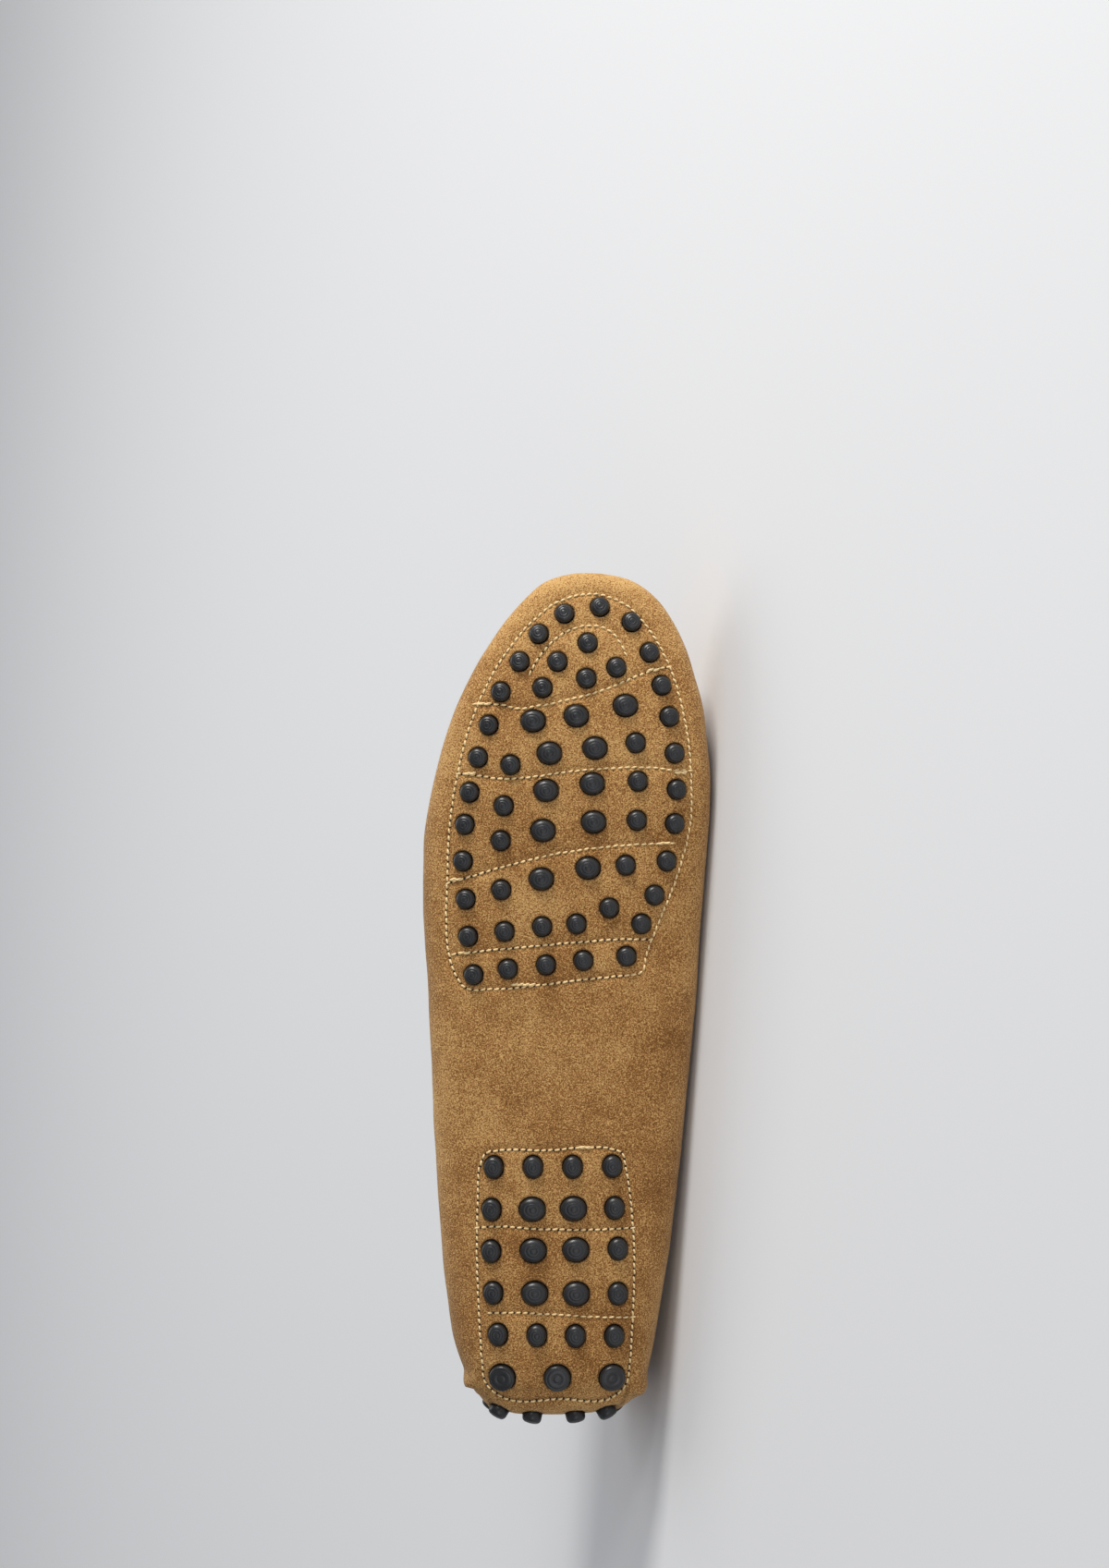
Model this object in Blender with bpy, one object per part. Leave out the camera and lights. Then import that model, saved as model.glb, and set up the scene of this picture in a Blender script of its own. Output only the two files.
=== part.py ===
"""Driving moccasin: a right suede shoe with two studded rubber pads, lying on its medial side.

Built first with x from heel to toe, y towards the medial side and z up from the sole,
then laid on its side: +X to the toe, the sole facing -Y, the medial side on Z = 0.
"""

import math

import bmesh
import bpy
from mathutils import Matrix, Vector

# Shoe sizes, metres
LENGTH = 0.285
BALL_WIDTH = 0.0964
HEEL_HEIGHT = 0.060
INSTEP_HEIGHT = 0.064
TOE_SPRING = 0.007

# Wall and layer sizes
WALL = 0.0019
GAP = 0.0003
PAD = 0.0016
INSOLE = 0.0015
SEAM_RISE = 0.0011
SEAM_WIDTH = 0.0030
SEAM_STEP = 0.0005
BINDING_LIP = 0.0050
BINDING_SKIN = 0.0011

# Stud sizes: diameter and how far each stands out of the suede
SMALL_STUD = 0.0066
LARGE_STUD = 0.0083
HEEL_STUD = 0.0092
STUD_RISE = 0.0024
STUD_SIDES = 8
STUD_BEVEL = 0.0009
PEG_ROOT = 0.80

# Where the parts of the shoe lie, as shares of the length
HEEL_CENTRE = 0.115
TOE_CENTRE = 0.800
THROAT = 0.530
APRON_TIP = 0.925

# Plan outline: half-widths as shares of the ball width, from a straight line heel to toe
OUTLINE = (
    # station, lateral, medial
    (0.012, 0.262, 0.190),
    (0.033, 0.315, 0.266),
    (0.054, 0.347, 0.283),
    (0.098, 0.395, 0.315),
    (0.141, 0.415, 0.337),
    (0.228, 0.440, 0.376),
    (0.315, 0.456, 0.405),
    (0.402, 0.469, 0.430),
    (0.489, 0.479, 0.456),
    (0.576, 0.495, 0.472),
    (0.641, 0.499, 0.487),
    (0.707, 0.489, 0.504),
    (0.750, 0.463, 0.507),
    (0.793, 0.430, 0.498),
    (0.837, 0.386, 0.482),
    (0.880, 0.328, 0.450),
    (0.924, 0.251, 0.405),
    (0.967, 0.148, 0.325),
    (0.989, 0.074, 0.241),
)
HEEL_POINT = -0.030
TOE_POINT = 0.090

# Side view: heights as shares of the instep height, and how square the upper half of a section is
HEIGHTS = (
    # station, widest, crown, fullness
    (0.000, 0.27, 1.34, 1.60),
    (0.120, 0.26, 1.34, 1.55),
    (0.330, 0.24, 1.30, 1.40),
    (0.530, 0.23, 1.02, 1.40),
    (0.660, 0.22, 0.80, 1.60),
    (0.800, 0.20, 0.60, 2.10),
    (0.930, 0.21, 0.49, 2.10),
    (1.000, 0.23, 0.45, 2.10),
)
SOLE_SQUARENESS = 3.3
END_FULLNESS = 2.3

# Topline: height as a share of the heel height, from the back of the heel to the throat
TOPLINE = (
    # station, height
    (0.000, 1.02),
    (0.115, 0.98),
    (0.250, 0.86),
    (0.400, 0.84),
    (0.530, 0.93),
)

# Ring of forefoot studs, places as shares of the length and the ball width, medial positive
RING = (
    # station and place across of each stud, from the lateral end of the ring round the toe
    (0.525, -0.321), (0.570, -0.340), (0.614, -0.348), (0.659, -0.358), (0.702, -0.351), (0.740, -0.335),
    (0.781, -0.305), (0.819, -0.269), (0.858, -0.226), (0.894, -0.161), (0.927, -0.095), (0.951, -0.005),
    (0.959, 0.119), (0.941, 0.230), (0.905, 0.293), (0.866, 0.334), (0.829, 0.361), (0.786, 0.379),
    (0.743, 0.387), (0.703, 0.380), (0.659, 0.351), (0.619, 0.308), (0.585, 0.263), (0.547, 0.211),
)
PAD_MARGIN = 0.0060
PAD_BACK_MARGIN = 0.0045

# Forefoot studs inside the ring
FORE_STUDS = (
    # station, place across, kind
    (0.532, -0.201, "small"), (0.537, -0.069, "small"), (0.542, 0.061, "small"),
    (0.576, -0.213, "small"), (0.582, -0.082, "small"), (0.585, 0.037, "small"), (0.604, 0.151, "small"),
    (0.625, -0.224, "small"), (0.638, -0.085, "large"), (0.651, 0.077, "large"), (0.654, 0.208, "small"),
    (0.683, -0.226, "small"), (0.695, -0.079, "large"), (0.705, 0.097, "large"), (0.707, 0.247, "small"),
    (0.724, -0.216, "small"), (0.742, -0.068, "large"), (0.750, 0.093, "large"), (0.753, 0.251, "small"),
    (0.772, -0.192, "small"), (0.786, -0.056, "large"), (0.792, 0.101, "large"), (0.798, 0.243, "small"),
    (0.824, -0.114, "large"), (0.830, 0.037, "large"), (0.842, 0.208, "large"),
    (0.863, -0.081, "small"), (0.874, 0.072, "small"), (0.887, 0.177, "small"),
    (0.894, -0.029, "small"), (0.916, 0.077, "small"),
)

# Heel studs: rows forward of the turned-up back
HEEL_ROWS = (
    # station, first, last, climb, count, ends, middle
    (0.299, -0.251, 0.162, 0.001, 4, "small", "small"),
    (0.249, -0.259, 0.170, 0.002, 4, "small", "large"),
    (0.200, -0.260, 0.182, 0.003, 4, "small", "large"),
    (0.151, -0.253, 0.181, -0.001, 4, "small", "large"),
    (0.102, -0.236, 0.169, -0.002, 4, "small", "small"),
    (0.051, -0.221, 0.162, 0.000, 3, "heel", "heel"),
)
HEEL_PAD_FRONT = 0.320
HEEL_PAD_LATERAL = 0.303
HEEL_PAD_MEDIAL = 0.229

# Heel studs up the back: height as a share of the heel height, place across of the ball width
BACK_STUDS = (
    # height, place across
    (0.18, -0.218), (0.17, -0.116), (0.17, 0.034), (0.18, 0.130),
    (0.37, -0.238), (0.38, -0.116), (0.38, 0.034), (0.37, 0.150),
    (0.56, -0.092), (0.56, 0.010),
)
BACK_PAD_TOP = 0.68
BACK_PAD_SHOULDER = 0.26
BACK_PAD_TAPER = 0.45

# Mesh counts
SIDE_STEPS = 13
TOE_STEPS = 11
HEEL_STEPS = 11
SOLE_ROWS = (0.0, 0.30, 0.60, 0.78, 0.90, 0.97, 1.0)
WALL_ROWS = 3
APRON_ROWS = 3

COLOURS = {
    # node: colour, roughness
    "upper": ((0.46, 0.26, 0.10), 0.92),
    "apron": ((0.44, 0.25, 0.10), 0.92),
    "collar_binding": ((0.34, 0.19, 0.08), 0.85),
    "forefoot_sole": ((0.030, 0.031, 0.033), 0.45),
    "heel_sole": ((0.030, 0.031, 0.033), 0.45),
    "insole": ((0.52, 0.36, 0.20), 0.70),
}


def lerp(a, b, t):
    return a + (b - a) * t


def smooth(t):
    t = min(1.0, max(0.0, t))
    return t * t * (3.0 - 2.0 * t)


def table_value(table, station, column):
    """A table's column at a station, by a smooth curve through its rows."""
    if station <= table[0][0]:
        return table[0][column]
    for i in range(len(table) - 1):
        a, b = table[i], table[i + 1]
        if station <= b[0]:
            before = table[max(0, i - 1)]
            after = table[min(len(table) - 1, i + 2)]
            span = b[0] - a[0]
            slope_a = (b[column] - before[column]) / (b[0] - before[0])
            slope_b = (after[column] - a[column]) / (after[0] - a[0])
            t = (station - a[0]) / span
            t2, t3 = t * t, t * t * t
            return ((2 * t3 - 3 * t2 + 1) * a[column] + (t3 - 2 * t2 + t) * span * slope_a
                    + (3 * t2 - 2 * t3) * b[column] + (t3 - t2) * span * slope_b)
    return table[-1][column]


def closed_curve(rows, back, front, steps=8):
    """Closed plan curve through a table of half-widths, from the back point round the lateral side."""
    lateral = [Vector((s * LENGTH, -a * BALL_WIDTH)) for s, a, _ in rows]
    medial = [Vector((s * LENGTH, b * BALL_WIDTH)) for s, _, b in reversed(rows)]
    points = back + lateral + front + medial
    curve = []
    for i in range(len(points)):
        p = [points[(i + k) % len(points)] for k in (-1, 0, 1, 2)]
        d = [max((p[k + 1] - p[k]).length, 1e-6) for k in range(3)]
        in_slope = ((p[1] - p[0]) * (d[1] / d[0]) + (p[2] - p[1]) * (d[0] / d[1])) / (d[0] + d[1])
        out_slope = ((p[2] - p[1]) * (d[2] / d[1]) + (p[3] - p[2]) * (d[1] / d[2])) / (d[1] + d[2])
        for k in range(steps):
            t = k / steps
            t2, t3 = t * t, t * t * t
            curve.append(p[1] * (2 * t3 - 3 * t2 + 1) + in_slope * d[1] * (t3 - 2 * t2 + t)
                         + p[2] * (3 * t2 - 2 * t3) + out_slope * d[1] * (t3 - t2))
    return curve


SHOE_CURVE = closed_curve(OUTLINE, [Vector((0.0, HEEL_POINT * BALL_WIDTH))],
                          [Vector((LENGTH, TOE_POINT * BALL_WIDTH))])


def reach(curve, start, direction):
    """Distance from a start point along a direction to a closed curve."""
    best = 0.0
    side = Vector((-direction.y, direction.x))
    for i in range(len(curve)):
        a = curve[i] - start
        b = curve[(i + 1) % len(curve)] - start
        sa, sb = a.dot(side), b.dot(side)
        if (sa <= 0.0) == (sb <= 0.0):
            continue
        t = sa / (sa - sb)
        best = max(best, a.lerp(b, t).dot(direction))
    return best


def centre_line(station):
    """Sideways place of the line that the sections turn about."""
    heel = (table_value(OUTLINE, HEEL_CENTRE, 2) - table_value(OUTLINE, HEEL_CENTRE, 1)) / 2
    toe = (table_value(OUTLINE, TOE_CENTRE, 2) - table_value(OUTLINE, TOE_CENTRE, 1)) / 2
    t = (station - HEEL_CENTRE) / (TOE_CENTRE - HEEL_CENTRE)
    return lerp(heel, toe, smooth(t)) * BALL_WIDTH


def spring(x):
    """Height of the sole's underside at a length."""
    t = (x / LENGTH - 0.70) / 0.30
    return TOE_SPRING * max(0.0, t) ** 2


class Profile:
    """One rib of the last: from the sole's centre line, out to the widest point and up to the crown."""

    def __init__(self, station, direction, turn):
        self.station = station
        self.start = Vector((station * LENGTH, centre_line(station)))
        self.direction = direction
        self.radius = reach(SHOE_CURVE, self.start, direction)
        self.turn = turn
        end = (self.start + direction * self.radius).x / LENGTH
        self.widest = table_value(HEIGHTS, end, 1) * INSTEP_HEIGHT
        self.crown = table_value(HEIGHTS, station, 2) * INSTEP_HEIGHT
        side = table_value(HEIGHTS, station, 3)
        self.fullness = lerp(side, END_FULLNESS, turn * turn)
        self.base = spring((self.start + direction * self.radius * 0.9).x)

    def sole(self, share):
        """Point on the underside, share 0 at the centre line and 1 at the widest point."""
        r = self.radius * share
        plan = self.start + self.direction * r
        drop = (1.0 - share ** SOLE_SQUARENESS) ** (1.0 / SOLE_SQUARENESS) if share < 1.0 else 0.0
        z0 = spring(plan.x)
        return Vector((plan.x, plan.y, self.widest - (self.widest - z0) * drop))

    def wall(self, turn):
        """Point above the widest line, turn 0 there and a quarter turn at the crown."""
        power = 2.0 / self.fullness
        r = self.radius * max(0.0, math.cos(turn)) ** power
        plan = self.start + self.direction * r
        z = self.widest + (self.crown - self.widest) * math.sin(turn) ** power
        return Vector((plan.x, plan.y, z))

    def turn_at_height(self, z):
        share = (z - self.widest) / (self.crown - self.widest)
        return math.asin(min(1.0, share ** (self.fullness / 2.0)))

    def turn_at_share(self, share):
        return math.acos(min(1.0, share ** (self.fullness / 2.0)))


def apron_share(profile):
    """How far out the U seam lies on a rib, as a share of its radius."""
    if profile.station < TOE_CENTRE - 1e-6:
        t = (profile.station - THROAT) / (TOE_CENTRE - THROAT)
        return lerp(0.50, 0.66, smooth(t))
    tip = (APRON_TIP - TOE_CENTRE) / (1.0 - TOE_CENTRE)
    return lerp(0.66, tip, profile.turn ** 2)


def rim_turn(profile):
    """Where the upper's wall ends: at the topline behind the throat, at the U seam in front."""
    seam = profile.turn_at_share(apron_share(profile))
    if profile.station >= THROAT:
        return seam
    end = (profile.start + profile.direction * profile.radius).x / LENGTH
    top = profile.turn_at_height(table_value(TOPLINE, end, 1) * HEEL_HEIGHT)
    return top


def make_profiles():
    """Ribs round the shoe: up the lateral side, round the toe, down the medial side, round the heel."""
    count = SIDE_STEPS
    throat_step = round((THROAT - HEEL_CENTRE) / (TOE_CENTRE - HEEL_CENTRE) * count)
    sides = [lerp(HEEL_CENTRE, THROAT, i / throat_step) for i in range(throat_step)]
    sides += [lerp(THROAT, TOE_CENTRE, i / (count - throat_step)) for i in range(count - throat_step + 1)]
    ribs = [Profile(s, Vector((0.0, -1.0)), 0.0) for s in sides]
    for i in range(1, TOE_STEPS):
        a = math.pi * i / TOE_STEPS
        ribs.append(Profile(TOE_CENTRE, Vector((math.sin(a), -math.cos(a))), math.sin(a)))
    ribs += [Profile(s, Vector((0.0, 1.0)), 0.0) for s in reversed(sides)]
    for i in range(1, HEEL_STEPS):
        a = math.pi * i / HEEL_STEPS
        ribs.append(Profile(HEEL_CENTRE, Vector((-math.sin(a), math.cos(a))), math.sin(a)))
    return ribs


RIBS = make_profiles()
RIB_COUNT = len(RIBS)


def surface_normal(profile, place, wall_part):
    """Outward normal of the last at a rib's sole share or wall turn, from the shoe's own function."""
    step = 0.004
    centre = profile.wall(place) if wall_part else profile.sole(place)
    if wall_part:
        along = profile.wall(place + step) - profile.wall(max(0.0, place - step))
    else:
        along = profile.sole(min(1.0, place + step)) - profile.sole(max(0.0, place - step))
    plan = profile.direction
    # A rib lies in an upright plane, so its own normal is its slope turned a quarter
    out = along.x * plan.x + along.y * plan.y
    normal = Vector((plan.x * along.z, plan.y * along.z, -out))
    if normal.length < 1e-9:
        return Vector((0.0, 0.0, -1.0)), centre
    return normal.normalized(), centre


def turn_below(profile, turn, distance):
    """The wall turn that lies a distance along the rib below another."""
    step = 0.004
    here = profile.wall(turn)
    left = distance
    while turn > step:
        below = profile.wall(turn - step)
        length = (below - here).length
        if length >= left:
            return turn - step * left / length
        left -= length
        turn -= step
        here = below
    return turn


def wall_turns(profile):
    """Turns of the upper's wall rows, with the outer wall's rise at each."""
    rim = rim_turn(profile)
    seam = profile.station >= THROAT
    edge = turn_below(profile, rim, SEAM_WIDTH if seam else BINDING_LIP)
    rows = [(edge * i / WALL_ROWS, 0.0) for i in range(1, WALL_ROWS + 1)]
    foot = turn_below(profile, rim, (SEAM_WIDTH if seam else BINDING_LIP) - SEAM_STEP)
    rise = SEAM_RISE if seam else 0.0
    rows.append((foot, rise))
    rows.append((rim, rise))
    return rows


def wall_point(profile, turn, outward):
    normal, centre = surface_normal(profile, turn, True)
    return centre + normal * outward


def sole_point(profile, share, outward):
    normal, centre = surface_normal(profile, share, False)
    if share >= 1.0:
        normal = Vector((profile.direction.x, profile.direction.y, 0.0))
    if share <= 0.0:
        normal = Vector((0.0, 0.0, -1.0))
    return centre + normal * outward


def rib_points(profile, outward, seam=True):
    """Points along one rib from the sole's centre to the rim, moved outward."""
    points = [sole_point(profile, share, outward) for share in SOLE_ROWS]
    for turn, rise in wall_turns(profile):
        points.append(wall_point(profile, turn, outward + (rise if seam else 0.0)))
    return points


def new_object(name, bm):
    bmesh.ops.remove_doubles(bm, verts=bm.verts, dist=0.00002)
    bmesh.ops.dissolve_degenerate(bm, edges=bm.edges, dist=0.00001)
    bmesh.ops.recalc_face_normals(bm, faces=bm.faces)
    mesh = bpy.data.meshes.new(name)
    bm.to_mesh(mesh)
    bm.free()
    item = bpy.data.objects.new(name, mesh)
    bpy.context.collection.objects.link(item)
    return item


def shell_object(name, outer, inner, closed):
    """A solid between two grids of points; the grids' first rows meet along the centre line."""
    bm = bmesh.new()
    layers = []
    for grid in (outer, inner):
        layers.append([[bm.verts.new(p) for p in column] for column in grid])
    columns = len(outer)
    last = columns if closed else columns - 1
    rows = len(outer[0])
    for side, layer in enumerate(layers):
        for i in range(last):
            a, b = layer[i], layer[(i + 1) % columns]
            for j in range(rows - 1):
                quad = [a[j], b[j], b[j + 1], a[j + 1]]
                bm.faces.new(quad if side == 0 else quad[::-1])
    out, inn = layers
    for i in range(last):
        k = (i + 1) % columns
        bm.faces.new([out[i][-1], out[k][-1], inn[k][-1], inn[i][-1]])
        if not closed:
            bm.faces.new([out[k][0], out[i][0], inn[i][0], inn[k][0]])
    if not closed:
        for i in (0, columns - 1):
            for j in range(rows - 1):
                bm.faces.new([out[i][j], out[i][j + 1], inn[i][j + 1], inn[i][j]])
    return new_object(name, bm)


def rib_at(plan):
    """The rib that passes over a place in plan, and how far out the place lies on it."""
    station = min(TOE_CENTRE, max(HEEL_CENTRE, plan.x / LENGTH))
    start = Vector((station * LENGTH, centre_line(station)))
    offset = plan - start
    if station in (TOE_CENTRE, HEEL_CENTRE) and abs(offset.x) > 1e-6:
        direction = offset.normalized()
    else:
        direction = Vector((0.0, 1.0 if offset.y >= 0.0 else -1.0))
    rib = Profile(station, direction, abs(direction.x))
    return rib, offset.length / rib.radius


def stud_seats():
    """Every stud: pad, seat on the suede, outward normal and kind."""
    seats = [("forefoot_sole", plan, "small") for plan in ring_places()]
    for station, across, kind in FORE_STUDS:
        seats.append(("forefoot_sole", Vector((station * LENGTH, across * BALL_WIDTH)), kind))
    for station, first, last, climb, count, ends, middle in HEEL_ROWS:
        for i in range(count):
            t = i / (count - 1)
            kind = ends if i in (0, count - 1) else middle
            plan = Vector(((station + climb * t) * LENGTH, lerp(first, last, t) * BALL_WIDTH))
            seats.append(("heel_sole", plan, kind))
    placed = []
    for pad, plan, kind in seats:
        rib, share = rib_at(plan)
        normal, centre = surface_normal(rib, share, False)
        placed.append((pad, centre, normal, kind))
    return placed + back_seats()


def back_seats():
    """The studs up the back of the heel, on the ribs that fan out behind the heel's centre."""
    placed = []
    start = Vector((HEEL_CENTRE * LENGTH, centre_line(HEEL_CENTRE)))
    for height, place in BACK_STUDS:
        across = place * BALL_WIDTH - start.y
        back = math.sqrt(max(0.0, (HEEL_CENTRE * LENGTH) ** 2 - across * across))
        rib, _ = rib_at(start + Vector((-back, across)))
        z = height * HEEL_HEIGHT
        if z < rib.widest:
            drop = (rib.widest - z) / (rib.widest - rib.base)
            share = (1.0 - drop ** SOLE_SQUARENESS) ** (1.0 / SOLE_SQUARENESS)
            normal, centre = surface_normal(rib, share, False)
        else:
            normal, centre = surface_normal(rib, rib.turn_at_height(z), True)
        placed.append(("heel_sole", centre, normal, "small"))
    return placed


def ring_places():
    """The ring's studs in plan, from its lateral end round the toe to its medial end."""
    return [Vector((station * LENGTH, across * BALL_WIDTH)) for station, across in RING]


def stud_axes(normal):
    side = Vector((1.0, 0.0, 0.0)) - normal * normal.x
    if side.length < 0.2:
        side = Vector((0.0, 1.0, 0.0)) - normal * normal.y
    side.normalize()
    return side, normal.cross(side)


def stud_radii(kind):
    """Half-sizes of a stud along the shoe and across it."""
    if kind == "large":
        return LARGE_STUD * 0.42, LARGE_STUD * 0.50
    if kind == "heel":
        return HEEL_STUD * 0.50, HEEL_STUD * 0.50
    return SMALL_STUD * 0.50, SMALL_STUD * 0.50


def add_peg(bm, centre, normal, radii, rings):
    """A closed peg along a normal; each ring gives its height and how much smaller it is."""
    side, across = stud_axes(normal)
    loops = []
    for height, shrink in rings:
        loop = []
        for i in range(STUD_SIDES):
            a = 2.0 * math.pi * (i + 0.5) / STUD_SIDES
            offset = side * (math.cos(a) * (radii[0] - shrink)) + across * (math.sin(a) * (radii[1] - shrink))
            loop.append(bm.verts.new(centre + normal * height + offset))
        loops.append(loop)
    for low, high in zip(loops, loops[1:]):
        for i in range(STUD_SIDES):
            k = (i + 1) % STUD_SIDES
            bm.faces.new([low[i], low[k], high[k], high[i]])
    bm.faces.new(loops[0][::-1])
    bm.faces.new(loops[-1])


def pegs_object(name, seats, clearance, rings):
    bm = bmesh.new()
    for _, centre, normal, kind in seats:
        along, across = stud_radii(kind)
        add_peg(bm, centre, normal, (along + clearance, across + clearance), rings)
    item = new_object(name, bm)
    item.hide_render = True
    item.display_type = "WIRE"
    return item


def boolean(item, other, operation):
    modifier = item.modifiers.new(other.name, "BOOLEAN")
    modifier.operation = operation
    modifier.solver = "EXACT"
    modifier.object = other


def prism(name, outline, low, high):
    """An upright prism over a plan outline, used as a cutter."""
    bm = bmesh.new()
    lower = [bm.verts.new((p.x, p.y, low)) for p in outline]
    upper = [bm.verts.new((p.x, p.y, high)) for p in outline]
    for i in range(len(outline)):
        k = (i + 1) % len(outline)
        bm.faces.new([lower[i], lower[k], upper[k], upper[i]])
    bm.faces.new(lower[::-1])
    bm.faces.new(upper)
    item = new_object(name, bm)
    item.hide_render = True
    item.display_type = "WIRE"
    return item


def layer(name, outward, thickness, rows, walls=0):
    """A closed sheet inside the upper, over the sole's rows and some of its wall rows."""
    outer, inner = [], []
    for rib in RIBS:
        turns = wall_turns(rib)[:walls]
        for grid, depth in ((outer, outward), (inner, outward - thickness)):
            column = [sole_point(rib, share, depth) for share in SOLE_ROWS[:rows]]
            column += [wall_point(rib, turn, depth) for turn, _ in turns]
            grid.append(column)
    return shell_object(name, outer, inner, True)


def make_upper():
    outer = [rib_points(rib, 0.0) for rib in RIBS]
    inner = [rib_points(rib, -WALL, seam=False) for rib in RIBS]
    return shell_object("upper", outer, inner, True)


def apron_ribs():
    first = next(i for i, rib in enumerate(RIBS) if rib.station >= THROAT - 1e-9)
    last = max(i for i, rib in enumerate(RIBS) if rib.station >= THROAT - 1e-9)
    return RIBS[first:last + 1]


def make_apron():
    """The plug in the U seam, its surface the same last that the upper follows."""
    outer, inner = [], []
    for rib in apron_ribs():
        edge = rim_turn(rib)
        start = edge + (edge - turn_below(rib, edge, GAP * 1.3))
        turns = [lerp(start, math.pi / 2, (i / APRON_ROWS) ** 1.2) for i in range(APRON_ROWS + 1)]
        outer.append([wall_point(rib, turn, 0.0) for turn in turns][::-1])
        inner.append([wall_point(rib, turn, -WALL) for turn in turns][::-1])
    for grid, depth in ((outer, 0.0), (inner, -WALL)):
        for column, rib in zip(grid, apron_ribs()):
            top = rib.wall(math.pi / 2)
            column[0] = Vector((top.x, top.y, top.z + depth))
    bm = bmesh.new()
    layers = [[[bm.verts.new(p) for p in column] for column in grid] for grid in (outer, inner)]
    rows = APRON_ROWS + 1
    for side, grid in enumerate(layers):
        for a, b in zip(grid, grid[1:]):
            for j in range(rows - 1):
                quad = [a[j], b[j], b[j + 1], a[j + 1]]
                bm.faces.new(quad if side == 0 else quad[::-1])
    out, inn = layers
    for i in range(len(out) - 1):
        bm.faces.new([out[i][-1], out[i + 1][-1], inn[i + 1][-1], inn[i][-1]])
    for i in (0, -1):
        for j in range(rows - 1):
            bm.faces.new([out[i][j], out[i][j + 1], inn[i][j + 1], inn[i][j]])
    return new_object("apron", bm)


def make_binding():
    """The bound edge: a channel over the topline from throat to throat round the heel."""
    first = next(i for i, rib in enumerate(RIBS) if rib.station >= THROAT - 1e-9)
    last = max(i for i, rib in enumerate(RIBS) if rib.station >= THROAT - 1e-9)
    ribs = RIBS[last + 1:] + RIBS[:first]
    out_skin = GAP + BINDING_SKIN
    in_skin = -WALL - out_skin
    sections = []
    for rib in ribs:
        rim = rim_turn(rib)
        low = turn_below(rib, rim, BINDING_LIP)
        tangent = (rib.wall(rim) - rib.wall(rim - 0.01)).normalized()
        sections.append([
            wall_point(rib, low, GAP),
            wall_point(rib, low, out_skin),
            wall_point(rib, rim, out_skin) + tangent * GAP,
            wall_point(rib, rim, out_skin - BINDING_SKIN) + tangent * out_skin,
            wall_point(rib, rim, in_skin + BINDING_SKIN) + tangent * out_skin,
            wall_point(rib, rim, in_skin) + tangent * GAP,
            wall_point(rib, low, in_skin),
            wall_point(rib, low, -WALL - GAP),
            wall_point(rib, rim, -WALL - GAP) + tangent * GAP,
            wall_point(rib, rim, GAP) + tangent * GAP,
        ])
    bm = bmesh.new()
    loops = [[bm.verts.new(p) for p in section] for section in sections]
    count = len(loops[0])
    for a, b in zip(loops, loops[1:]):
        for i in range(count):
            k = (i + 1) % count
            bm.faces.new([a[i], a[k], b[k], b[i]])
    bm.faces.new(loops[0][::-1])
    bm.faces.new(loops[-1])
    return new_object("collar_binding", bm)


def make_forefoot_sole(seats, depth):
    pad = layer("forefoot_sole", depth, PAD, 6)
    path = ring_places()
    outline = []
    for i, p in enumerate(path):
        before, after = path[max(0, i - 1)], path[min(len(path) - 1, i + 1)]
        along = (after - before).normalized()
        outline.append(p + Vector((along.y, -along.x)) * PAD_MARGIN)
    back = Vector((-PAD_BACK_MARGIN, 0.0))
    outline = [outline[0] + back] + outline + [outline[-1] + back]
    boolean(pad, prism("forefoot_pad_outline", outline, -HEEL_HEIGHT, HEEL_HEIGHT), "INTERSECT")
    mine = [seat for seat in seats if seat[0] == "forefoot_sole"]
    boolean(pad, pegs_object("forefoot_studs", mine, 0.0, stud_rings(depth)), "UNION")
    return pad


def stud_rings(depth):
    return ((depth - PAD * PEG_ROOT, 0.0), (STUD_RISE - STUD_BEVEL, 0.0), (STUD_RISE, STUD_BEVEL))


def make_heel_sole(seats, depth):
    pad = layer("heel_sole", depth, PAD, len(SOLE_ROWS), 3)
    left, right = -HEEL_PAD_LATERAL * BALL_WIDTH, HEEL_PAD_MEDIAL * BALL_WIDTH
    centre = (left + right) / 2
    low, shoulder, top = -HEEL_HEIGHT, BACK_PAD_SHOULDER * HEEL_HEIGHT, BACK_PAD_TOP * HEEL_HEIGHT
    section = [(left, low), (right, low), (right, shoulder), (lerp(centre, right, BACK_PAD_TAPER), top),
               (lerp(centre, left, BACK_PAD_TAPER), top), (left, shoulder)]
    bm = bmesh.new()
    ends = [[bm.verts.new((x, y, z)) for y, z in section] for x in (-HEEL_CENTRE * LENGTH, HEEL_PAD_FRONT * LENGTH)]
    for i in range(len(section)):
        k = (i + 1) % len(section)
        bm.faces.new([ends[0][i], ends[0][k], ends[1][k], ends[1][i]])
    bm.faces.new(ends[0][::-1])
    bm.faces.new(ends[1])
    cutter = new_object("heel_pad_outline", bm)
    cutter.hide_render = True
    cutter.display_type = "WIRE"
    boolean(pad, cutter, "INTERSECT")
    mine = [seat for seat in seats if seat[0] == "heel_sole"]
    boolean(pad, pegs_object("heel_studs", mine, 0.0, stud_rings(depth)), "UNION")
    return pad


def make_insole(depth):
    return layer("insole", depth, INSOLE, 5)


def middle_of(parts):
    """Centre of the parts' surfaces, close to the centre of mass of a thin-walled shoe."""
    total, weighted = 0.0, Vector()
    for part in parts:
        mesh = part.data
        for face in mesh.polygons:
            total += face.area
            weighted += face.center * face.area
    return weighted / total


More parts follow.
